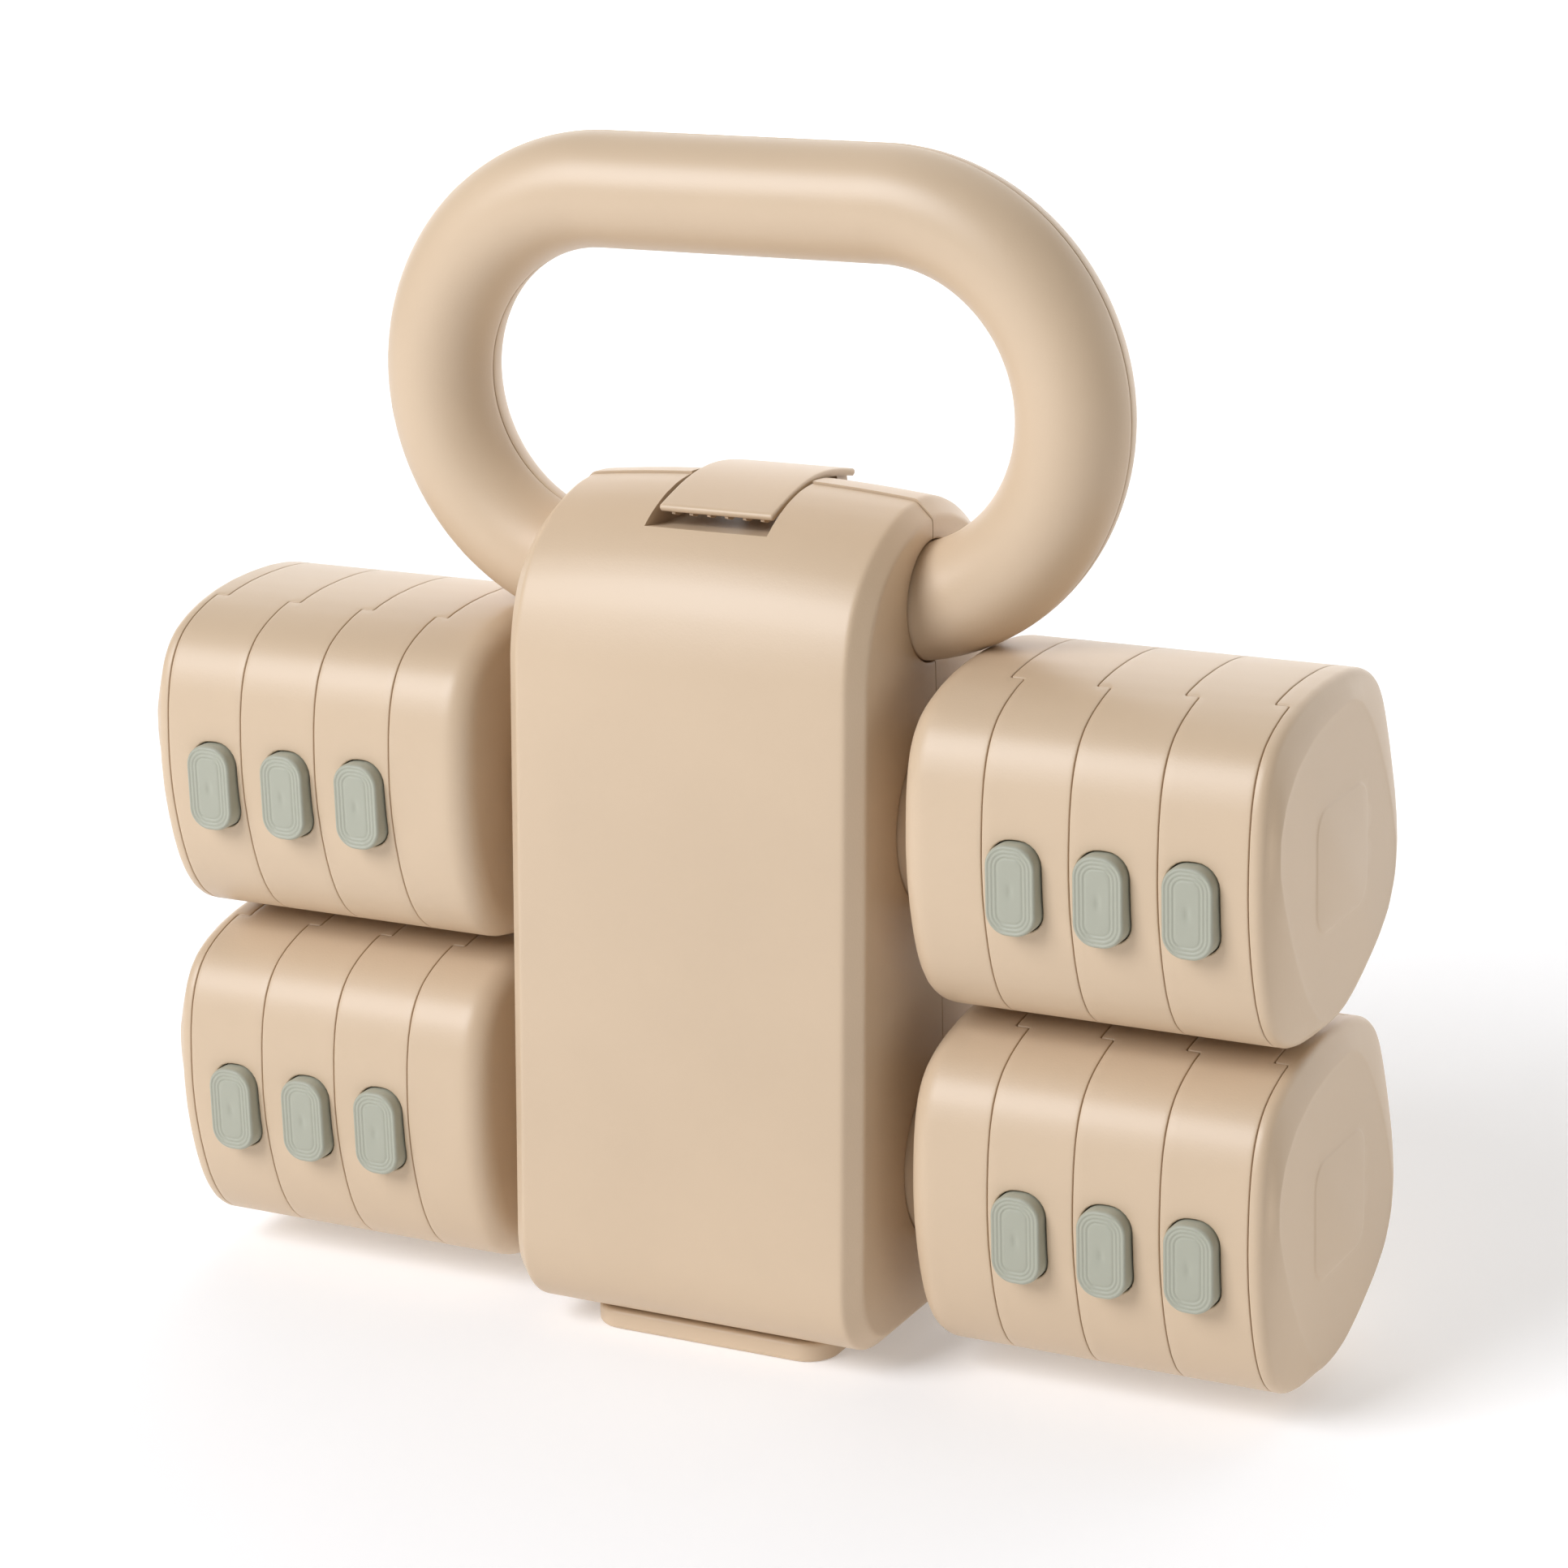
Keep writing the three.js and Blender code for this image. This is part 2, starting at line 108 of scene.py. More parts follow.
# ---- curves ----
class Profile:
    """A closed smooth outline in the (y, z) plane, measured along its length from its lowest middle point,
    up the front, over the top and down the back."""

    def __init__(self, front, soften, rear=None, samples=2400):
        rear = rear or [(-y, z) for y, z in reversed(front) if y != 0]
        corners = np.array(list(front) + rear, float)
        closed = np.vstack([corners, corners[:1]])
        run = np.concatenate([[0], np.cumsum(np.linalg.norm(np.diff(closed, axis=0), axis=1))])
        at = np.linspace(0, run[-1], samples, endpoint=False)
        dense = np.stack([np.interp(at, run, closed[:, k]) for k in (0, 1)], 1)
        reach = np.fft.fftfreq(samples, run[-1] / samples)
        filter_ = np.exp(-2 * (math.pi * soften * reach) ** 2)
        dense = np.stack([np.fft.ifft(np.fft.fft(dense[:, k]) * filter_).real for k in (0, 1)], 1)
        start = int(np.argmin(np.abs(dense[:, 0]) + 1000 * (dense[:, 1] > dense[:, 1].mean())))
        dense = np.roll(dense, -start, axis=0)
        self.points = np.vstack([dense, dense[:1]])
        self.run = np.concatenate([[0], np.cumsum(np.linalg.norm(np.diff(self.points, axis=0), axis=1))])
        self.length = self.run[-1]
        tangent = np.roll(dense, -1, axis=0) - np.roll(dense, 1, axis=0)
        tangent /= np.linalg.norm(tangent, axis=1)[:, None]
        normal = np.stack([-tangent[:, 1], tangent[:, 0]], 1)
        self.normals = np.vstack([normal, normal[:1]])

    def at(self, s):
        """The points at distances s along the outline."""
        s = np.mod(s, self.length + 1e-9)
        return np.array([np.interp(s, self.run, self.points[:, k]) for k in (0, 1)]).T

    def normal(self, s):
        """The outward unit normals at distances s."""
        s = np.mod(s, self.length + 1e-9)
        n = np.array([np.interp(s, self.run, self.normals[:, k]) for k in (0, 1)]).T
        return n / np.linalg.norm(n, axis=-1)[..., None]

    def top_at(self, y):
        """The distance along the outline of its point at y on the top half."""
        mid = (self.points[:, 1].max() + self.points[:, 1].min()) / 2
        upper = self.points[:, 1] > mid
        k = np.argmin(np.abs(self.points[:, 0] - y) + 1000 * ~upper)
        return self.run[k]

    def front_at(self, z):
        """The distances along the outline of its points at heights z on the front."""
        front = (self.points[:, 0] < -20) & (np.gradient(self.points[:, 1]) > 0)
        return np.interp(z, self.points[front, 1], self.run[front])


def corner_points(half_u, half_v, r, n):
    """The points of a centred rectangle's rounded corners, anticlockwise, n steps to a corner."""
    pts = []
    for k, (su, sv) in enumerate([(1, 1), (-1, 1), (-1, -1), (1, -1)]):
        for a in np.linspace(k * math.pi / 2, (k + 1) * math.pi / 2, n + 1):
            pts.append((su * (half_u - r) + r * math.cos(a), sv * (half_v - r) + r * math.sin(a)))
    return np.array(pts)


def rounded_rect(cu, cv, half_u, half_v, r, n=6):
    """Points all round a rectangle with rounded corners, anticlockwise."""
    return resample(corner_points(half_u, half_v, r, n) + (cu, cv), 1.6, True)


def rod_outline(half, r, chamfer):
    """The (x, radius) outline of a rod with chamfered ends, for lathe_x."""
    side = [(-half, 0), (-half, r - chamfer), (-half + chamfer, r)]
    return side + [(-x, radius) for x, radius in reversed(side)]


def bore_outline(x0, x1, r):
    """The (x, radius) outline of a plain cylinder, for lathe_x."""
    return [(x0, 0), (x0, r), (x1, r), (x1, 0)]


def circle(cu, cv, r, n=32):
    """n points round a circle, anticlockwise."""
    a = np.linspace(0, 2 * math.pi, n, endpoint=False)
    return np.stack([cu + r * np.cos(a), cv + r * np.sin(a)], 1)


def resample(pts, step, closed=False):
    """Adds points on the long stretches of a line, keeping its corners."""
    pts = np.asarray(pts, float)
    ends = np.vstack([pts, pts[:1]]) if closed else pts
    out = []
    for a, b in zip(ends[:-1], ends[1:]):
        n = max(1, int(math.ceil(np.linalg.norm(b - a) / step - 1e-6)))
        out += [a + (b - a) * k / n for k in range(n)]
    if not closed:
        out.append(ends[-1])
    return np.array(out)


def fillet(pts, r, n=4):
    """Rounds the inner corners of an open line."""
    pts = [np.array(p, float) for p in pts]
    out = [pts[0]]
    for a, b, c in zip(pts[:-2], pts[1:-1], pts[2:]):
        u, w = a - b, c - b
        lu, lw = np.linalg.norm(u), np.linalg.norm(w)
        t = min(r, lu * 0.45, lw * 0.45)
        p, q = b + u / lu * t, b + w / lw * t
        for k in range(n + 1):
            f = k / n
            out.append((1 - f) ** 2 * p + 2 * f * (1 - f) * b + f * f * q)
    out.append(pts[-1])
    return np.array(out)


def offset_line(pts, d, closed=False):
    """Moves a line d to its left."""
    pts = np.asarray(pts, float)
    before = np.roll(pts, 1, axis=0) if closed else np.vstack([pts[:1], pts[:-1]])
    after = np.roll(pts, -1, axis=0) if closed else np.vstack([pts[1:], pts[-1:]])
    a, b = pts - before, after - pts
    if not closed:
        a[0], b[-1] = b[0], a[-1]
    a /= np.linalg.norm(a, axis=1)[:, None]
    b /= np.linalg.norm(b, axis=1)[:, None]
    na, nb = np.stack([-a[:, 1], a[:, 0]], 1), np.stack([-b[:, 1], b[:, 0]], 1)
    m = na + nb
    m /= np.linalg.norm(m, axis=1)[:, None]
    reach = d / np.maximum((m * na).sum(1), 0.5)
    return pts + m * reach[:, None]


def inside(points, loop):
    """Which points lie inside a closed loop."""
    points, loop = np.asarray(points), np.asarray(loop)
    x, y = points[:, 0], points[:, 1]
    hit = np.zeros(len(points), bool)
    for (x0, y0), (x1, y1) in zip(loop, np.roll(loop, -1, axis=0)):
        if y0 != y1:
            cross = (y0 > y) != (y1 > y)
            hit ^= cross & (x < (x1 - x0) * (y - y0) / (y1 - y0) + x0)
    return hit


def round_steps(r, n=3):
    """(distance from an edge, depth) down a rounded edge of radius r, from the surface to the wall."""
    return [(r * (1 - math.sin(a)), r * (1 - math.cos(a))) for a in np.linspace(0, math.pi / 2, n + 1)]


# ---- meshes ----
class Shape:
    """Vertices and faces in millimetres, gathered from patches that share their border points."""

    def __init__(self):
        self.verts, self.faces = [], []

    def add(self, verts, faces):
        """Adds a patch; its faces count from its own first vertex."""
        base = len(self.verts)
        self.verts += [tuple(map(float, v)) for v in verts]
        self.faces += [tuple(base + i for i in f) for f in faces]
        return self

    def skin(self, outer, holes, rings, grid, place):
        """Fills a flat region with triangles and bends it into place.
        rings are (points, depth, closed) lines in it; place(u, v, depth) gives the points in space."""
        pts, depth, edges = [], [], []
        for line, d, closed in rings:
            base = len(pts)
            n = len(line)
            pts += [Vector(p) for p in line]
            depth += [d] * n
            edges += [(base + k, base + (k + 1) % n) for k in range(n if closed else n - 1)]
        fixed = np.array(pts)
        grid = np.asarray(grid, float)
        if len(grid):
            ok = inside(grid, outer)
            for hole in holes:
                ok &= ~inside(grid, hole)
            grid = grid[ok]
            near = np.array([np.min(np.sum((fixed - g) ** 2, axis=1)) for g in grid])
            grid = grid[near > 0.9**2]
            pts += [Vector(p) for p in grid]
            depth += [0.0] * len(grid)
        flat, _, tris, orig, _, _ = delaunay_2d_cdt(pts, edges, [], 0, 1e-5)
        uv = np.array(flat)
        d = np.array([depth[o[0]] if o else 0.0 for o in orig])
        tri = np.array(tris)
        middle = uv[tri].mean(1)
        keep = inside(middle, outer)
        for hole in holes:
            keep &= ~inside(middle, hole)
        return self.add(place(uv[:, 0], uv[:, 1], d), tri[keep])

    def loft(self, rings, caps=True, closed=False):
        """Joins rings of points that all have the same count."""
        n = len(rings[0])
        faces = []
        count = len(rings)
        for r in range(count if closed else count - 1):
            a, b = r * n, ((r + 1) % count) * n
            for k in range(n):
                j = (k + 1) % n
                faces.append((a + k, a + j, b + j, b + k))
        if caps and not closed:
            faces.append(tuple(range(n)))
            faces.append(tuple((count - 1) * n + k for k in range(n)))
        return self.add(np.vstack(rings), faces)

    def lathe_x(self, outline, y, z, n=48):
        """Turns an open (x, radius) outline that starts and ends on the axis, or a closed one, about X."""
        a = np.linspace(0, 2 * math.pi, n, endpoint=False)
        rings = [np.stack([np.full(n, x), y + r * np.cos(a), z + r * np.sin(a)], 1) for x, r in outline]
        tube = outline[0][1] > 0 and outline[-1][1] > 0
        return self.loft(rings, caps=False, closed=tube)

    def mirrored(self):
        """The same shape turned over in X."""
        other = Shape()
        other.verts = [(-x, y, z) for x, y, z in self.verts]
        other.faces = [tuple(reversed(f)) for f in self.faces]
        return other

    def mesh(self, name, merge=0.002, sharp=SHARP):
        """One Blender mesh in metres, its border points joined and its faces turned outwards."""
        me = bpy.data.meshes.new(name)
        me.from_pydata([tuple(c * MM for c in v) for v in self.verts], [], self.faces)
        bm = bmesh.new()
        bm.from_mesh(me)
        bmesh.ops.remove_doubles(bm, verts=bm.verts, dist=merge * MM)
        bmesh.ops.dissolve_degenerate(bm, edges=bm.edges, dist=1e-8)
        bmesh.ops.recalc_face_normals(bm, faces=bm.faces)
        bm.to_mesh(me)
        bm.free()
        me.shade_smooth()
        me.set_sharp_from_angle(angle=math.radians(sharp))
        return me


def piece(name, mesh, body, material, replaces=(), shift=(0, 0, 0)):
    """A shown object of the set, riding on its CAD body."""
    o = bpy.data.objects.new(name, mesh)
    bpy.context.scene.collection.objects.link(o)
    if not mesh.materials:
        mesh.materials.append(material)
    o.location = [c * MM for c in shift]
    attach(o, body)
    if replaces:
        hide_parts(*replaces)
    return o


# ---- materials ----
def plastic(name, rgb, rough=0.42, pips=0.35, mottle=0.035):
    """Moulded plastic: faint cloudy colour, a fine pitted texture and uneven sheen."""
    mat = bpy.data.materials.new(name)
    mat.use_nodes = True
    nt = mat.node_tree
    bsdf = nt.nodes["Principled BSDF"]
    bsdf.inputs["Metallic"].default_value = 0.0
    bsdf.inputs["Specular IOR Level"].default_value = 0.55
    where = nt.nodes.new("ShaderNodeTexCoord")
    cloud = nt.nodes.new("ShaderNodeTexNoise")
    cloud.inputs["Scale"].default_value = 9.0
    cloud.inputs["Detail"].default_value = 5.0
    grain = nt.nodes.new("ShaderNodeTexNoise")
    grain.inputs["Scale"].default_value = 1500.0
    grain.inputs["Detail"].default_value = 2.0
    tint = nt.nodes.new("ShaderNodeValToRGB")
    tint.color_ramp.elements[0].position = 0.35
    tint.color_ramp.elements[1].position = 0.65
    tint.color_ramp.elements[0].color = (*[c * (1 - mottle) for c in rgb], 1)
    tint.color_ramp.elements[1].color = (*[min(1, c * (1 + mottle)) for c in rgb], 1)
    sheen = nt.nodes.new("ShaderNodeMapRange")
    sheen.inputs["To Min"].default_value = rough - 0.06
    sheen.inputs["To Max"].default_value = rough + 0.08
    bump = nt.nodes.new("ShaderNodeBump")
    bump.inputs["Strength"].default_value = pips
    bump.inputs["Distance"].default_value = 0.00008
    nt.links.new(where.outputs["Object"], cloud.inputs["Vector"])
    nt.links.new(where.outputs["Object"], grain.inputs["Vector"])
    nt.links.new(cloud.outputs["Fac"], tint.inputs["Fac"])
    nt.links.new(tint.outputs["Color"], bsdf.inputs["Base Color"])
    nt.links.new(cloud.outputs["Fac"], sheen.inputs["Value"])
    nt.links.new(sheen.outputs["Result"], bsdf.inputs["Roughness"])
    nt.links.new(grain.outputs["Fac"], bump.inputs["Height"])
    nt.links.new(bump.outputs["Normal"], bsdf.inputs["Normal"])
    return mat


def metal(name, rgb, rough, grain_scale=600.0, metallic=1.0, pits=0.5):
    """Machined or cast metal with a fine grain and uneven polish."""
    mat = plastic(name, rgb, rough, pits, 0.08)
    mat.node_tree.nodes["Principled BSDF"].inputs["Metallic"].default_value = metallic
    for node in mat.node_tree.nodes:
        if node.type == "TEX_NOISE" and node.inputs["Scale"].default_value > 100:
            node.inputs["Scale"].default_value = grain_scale
    return mat


def linear(r, g, b):
    """Screen colour, 0 to 255, to the shader's linear values."""
    out = []
    for c in (r, g, b):
        c /= 255
        out.append(c / 12.92 if c <= 0.04045 else ((c + 0.055) / 1.055) ** 2.4)
    return tuple(out)


TAN = plastic("tan_plastic", linear(208, 184.5, 156), 0.39)
SAGE = plastic("sage_plastic", linear(168, 169, 153), 0.45)
GRIP = plastic("grip_rubber", linear(52, 50, 48), 0.7, 0.8, 0.1)
IRON = metal("cast_iron", (0.09, 0.088, 0.085), 0.55, 450.0, 0.9, 1.0)
STEEL = metal("steel", (0.62, 0.62, 0.61), 0.28, 900.0, 1.0, 0.2)

# ---- dumbbell ends ----
plate_line = Profile(PLATE_FRONT, 1.6, PLATE_REAR)
EDGE = 0.34


def wrapped(line, x0=0.0, side=1, z=0.0):
    """Maps (distance along the outline, x, depth under the surface) to space."""

    def place(s, x, d):
        q = line.at(s) - line.normal(s) * np.asarray(d, float)[:, None]
        return np.stack([(np.asarray(x) + x0) * side, q[:, 0], q[:, 1] + z], 1)

    return place


def in_plane(x):
    """Maps (y, z) to a plane across X; depth sinks towards -X."""

    def place(y, z, d):
        return np.stack([x - d, y, z], 1)

    return place


def end_line(line, x, step, half, corner=0.8):
    """The unrolled edge of a part: straight at x, with a step over the top between -half and half."""
    left, right = line.top_at(-half), line.top_at(half)
    pts = [(0, x), (left, x), (left, x + step), (right, x + step), (right, x), (line.length, x)]
    if step == 0:
        pts = [(0, x), (line.length, x)]
    pts = resample(fillet(pts, corner), 1.5)
    pts[:, 1][np.abs(pts[:, 1] - x) < 1e-6] = x
    return pts


def end_face(shape, line, edge, x, bottom, depth, face_sign, spigot=None):
    """Closes one end: the walls and floor of its tongue or notch, and the flat face, with a spigot if asked.
    edge is the unrolled end line, depth how far under the surface its rounding ends."""
    off = np.flatnonzero(np.abs(edge[:, 1] - x) > 1e-4)
    rim = line.at(edge[:, 0]) - line.normal(edge[:, 0]) * depth
    if len(off):
        a, b = off[0] - 1, off[-1] + 1
        part = edge[a : b + 1]
        p, n = line.at(part[:, 0]), line.normal(part[:, 0])
        reach = (p[:, 1] - bottom) / n[:, 1]
        rows = []
        for f in (0, 0.25, 0.5, 0.75, 1):
            d = depth + (reach - depth) * f
            q = p - n * d[:, None]
            rows.append(np.stack([part[:, 1], q[:, 0], q[:, 1]], 1))
        count = len(part)
        faces = []
        for r in range(4):
            for k in range(count - 1):
                faces.append((r * count + k, r * count + k + 1, (r + 1) * count + k + 1, (r + 1) * count + k))
        shape.add(np.vstack(rows), faces)
        shape.add(rows[-1], [tuple(range(count))])
        left = np.stack([r[0] for r in rows])[:, 1:]
        right = np.stack([r[-1] for r in rows])[:, 1:]
        outline = np.vstack([rim[:a], left, right[::-1], rim[b + 1 : -1]])
    else:
        outline = rim[:-1]
    holes = []
    rings = [(outline, 0.0, True)]
    if spigot:
        centre, r, length = spigot
        loop = circle(0, centre, r, 48)
        holes.append(loop)
        rings.append((loop, 0.0, True))
        edge_r = 0.6
        steps = [(0, 0), (0, length - edge_r), (edge_r * 0.3, length - edge_r * 0.3), (edge_r, length)]
        hoops = []
        for inset, out in steps:
            c = circle(0, centre, r - inset, 48)
            hoops.append(np.stack([np.full(48, x + face_sign * out), c[:, 0], c[:, 1]], 1))
        shape.loft(hoops, caps=False)
        shape.add(hoops[-1], [tuple(range(48))])
    shape.skin(outline, holes, rings, [], in_plane(x))


def casing(line, width, inner_round, tongue, notch, spigot, hole=None):
    """A moulded body round the outline: rounded ends, a tongue inwards and a notch outwards over the top."""
    shape = Shape()
    place = wrapped(line)
    steps = 3 if inner_round < 2 else 8
    inner = end_line(line, 0.0, -KEY_DEPTH if tongue else 0.0, KEY_HALF)
    outer = end_line(line, width, -KEY_DEPTH - 0.05 if notch else 0.0, KEY_HALF + KEY_SLACK)
    rings = [(offset_line(inner, d), e, False) for d, e in round_steps(inner_round, steps)]
    rings += [(offset_line(outer, -d), e, False) for d, e in round_steps(EDGE)]
    for line_pts, _, _ in rings:
        line_pts[0, 0], line_pts[-1, 0] = 0, line.length
    boundary = np.vstack([rings[steps][0], outer[::-1]])
    holes = []
    if hole:
        cz, cx, half_z, half_x, r = hole
        rim = rounded_rect(cz, cx, half_z, half_x, r)
        rim[:, 0] = line.front_at(rim[:, 0])
        cs, half_s = line.front_at(cz), np.ptp(rim[:, 0]) / 2
        holes.append(rim)
        rings += [(offset_line(rim, -d, True), e, True) for d, e in round_steps(0.5)]
        # the slot's walls run straight back, as the button does
        mouth = place(rim[:, 0], rim[:, 1], np.full(len(rim), 0.5))
        floor = mouth.copy()
        floor[:, 1] = -SLOT_FLOOR
        shape.loft([mouth, floor], caps=False)
        shape.add(floor, [tuple(range(len(rim)))])
    n = int(line.length / 2.2)
    gs = np.linspace(0, line.length, n + 1)
    gx = np.arange(-KEY_DEPTH, width + 0.1, 2.4)
    grid = [(s, x) for s in gs for x in gx]
    near = inner_round + 0.8
    clear = inside(grid, boundary)
    grid = np.array(grid)
    low = np.interp(grid[:, 0], inner[:, 0], inner[:, 1])
    high = np.interp(grid[:, 0], outer[:, 0], outer[:, 1])
    ends = (grid[:, 0] < 1e-6) | (grid[:, 0] > line.length - 1e-6)
    ok = (grid[:, 1] > low + near) & (grid[:, 1] < high - 1.2)
    if hole:
        ok &= ~((np.abs(grid[:, 0] - cs) < half_s + 1.4) & (np.abs(grid[:, 1] - cx) < half_x + 1.4))
    grid = grid[ok & (clear | ends)]
    grid[:, 0] = np.where(grid[:, 0] < 1e-6, 0, grid[:, 0])
    fat = boundary.copy()
    fat[fat[:, 0] < 1e-6, 0] = -0.5
    fat[fat[:, 0] > line.length - 1e-6, 0] = line.length + 0.5
    shape.skin(fat, holes, rings, grid, place)
    end_face(shape, line, inner, 0.0, KEY_BOTTOM, inner_round, -1, spigot)
    end_face(shape, line, outer, width, KEY_BOTTOM - KEY_SLACK, EDGE, 1)
    return shape


def prism(loop, x0, x1):
    """A straight bar along X with a (y, z) outline."""
    loop = np.asarray(loop, float)
    return Shape().loft([np.stack([np.full(len(loop), x), loop[:, 0], loop[:, 1]], 1) for x in (x0, x1)])


def cut(mesh, tools, operation="DIFFERENCE"):
    """Applies exact booleans to a mesh."""
    base = bpy.data.objects.new("cut_base", mesh)
    bpy.context.scene.collection.objects.link(base)
    helpers = []
    for tool in tools:
        helper = bpy.data.objects.new("cut_tool", tool)
        bpy.context.scene.collection.objects.link(helper)
        helpers.append(helper)
        modifier = base.modifiers.new("cut", "BOOLEAN")
        modifier.operation = operation
        modifier.solver = "EXACT"
        modifier.object = helper
    view = bpy.context.evaluated_depsgraph_get()
    made = bpy.data.meshes.new_from_object(base.evaluated_get(view))
    made.name = mesh.name
    for o in [base, *helpers]:
        data = o.data
        bpy.data.objects.remove(o)
        bpy.data.meshes.remove(data)
    made.set_sharp_from_angle(angle=math.radians(SHARP))
    return made


def inset_loop(line, inset, n=120):
    """The outline moved inwards, as (y, z) points."""
    s = np.linspace(0, line.length, n, endpoint=False)
    return line.at(s) - line.normal(s) * inset


button_x = PLATE_WIDTH / 2 - BUTTON_SHIFT
hole = (BUTTON_Z, button_x, BUTTON_H / 2 + BUTTON_SLACK, BUTTON_W / 2 + BUTTON_SLACK, BUTTON_R + BUTTON_SLACK)
SPIGOT = (-SPIGOT_DROP, SPIGOT_R, KEY_DEPTH)
plate_shape = casing(plate_line, PLATE_WIDTH, EDGE, True, True, SPIGOT, hole)
plate_mesh = {}
for end, side in ENDS.items():
    part = plate_shape if side > 0 else plate_shape.mirrored()
    pocket = prism(inset_loop(plate_line, WALL), PLATE_WEB * side, (PLATE_WIDTH + 1) * side)
    plate_mesh[side] = cut(part.mesh(f"plate_{end}"), [pocket.mesh("pocket")])


def spread(loop, n, centre):
    """n points of a closed loop at even angles about a centre."""
    loop = np.asarray(loop)
    a = np.unwrap(np.arctan2(loop[:, 1] - centre[1], loop[:, 0] - centre[0]))
    r = np.hypot(loop[:, 0] - centre[0], loop[:, 1] - centre[1])
    order = np.argsort(np.mod(a, 2 * math.pi))
    t = np.linspace(0, 2 * math.pi, n, endpoint=False)
    radius = np.interp(t, np.mod(a, 2 * math.pi)[order], r[order], period=2 * math.pi)
    return np.stack([centre[0] + radius * np.cos(t), centre[1] + radius * np.sin(t)], 1)


# the hub: the inner body of each end, deeply rounded towards the housing, on a round boss
hub_width = FIRST_SEAM - GAP / 2 - HUB_INNER
hub_shape = casing(plate_line, hub_width, HUB_ROUND, False, True, None)
hub_mesh, boss_mesh, sleeve_mesh = {}, {}, {}
boss_outline = [
    (BOSS_INNER - HUB_INNER, 0), (BOSS_INNER - HUB_INNER, BOSS_R - 1), (BOSS_INNER - HUB_INNER + 1, BOSS_R),
    (-2.6, BOSS_R), (-2.2, BOSS_R - 0.8), (-1.6, BOSS_R - 0.8), (-1.2, BOSS_R), (0.5, BOSS_R), (0.5, 0),
]
sleeve_outline = [(3, 9.3), (20.4, 9.3), (20.9, 9.8), (20.9, 12.4), (20.4, 13), (3, 13)]
for end, side in ENDS.items():
    part = hub_shape if side > 0 else hub_shape.mirrored()
    pocket = prism(inset_loop(plate_line, WALL), HUB_WEB * side, (hub_width + 1) * side)
    hub_mesh[side] = cut(part.mesh(f"hub_{end}"), [pocket.mesh("pocket")])
    boss = Shape().lathe_x([(x * side, r) for x, r in boss_outline], 0, 0, 72)
    sleeve = Shape().lathe_x([(x * side, r) for x, r in sleeve_outline], 0, 0, 48)
    boss_mesh[side] = boss.mesh(f"boss_{end}")
    sleeve_mesh[side] = sleeve.mesh(f"sleeve_{end}")

# the end cap: rounded, then a sloping band up to a flat shield-shaped face with a raised pad
CAP_SIDES = 240
CAP_CENTRE = (0.0, 2.0)
CAP_BAND, CAP_ROUND = 1.1, 3.4  # the straight band beside the seam, and the radius after it
CAP_SINK = 0.16  # how far the flat face lies under CAP_FACE
PAD = (-0.4, 2.3, 20.2, 18.6, 8.0)  # centre y and z, half sizes, corner radius
# the flat face's outline, up the front and then down the back
CAP_FRONT = [
    (-2, -42.6), (-10.5, -43.2), (-18, -40.2), (-24.6, -33.6), (-31.2, -24.6), (-38.4, -11.7), (-44.2, 1),
    (-47.6, 11), (-47.4, 20.5), (-43, 29.6), (-34.5, 37.2), (-22, 42.6), (-9, 45.2), (0, 45.8),
]
CAP_REAR = [
    (8, 45.8), (14.6, 43.4), (20.6, 38.4), (27.5, 29.6), (35, 17.2), (40.4, 4.8), (43.4, -5.6), (42.6, -15),
    (37.4, -23.6), (29, -30), (17, -36.3), (6, -40.8),
]


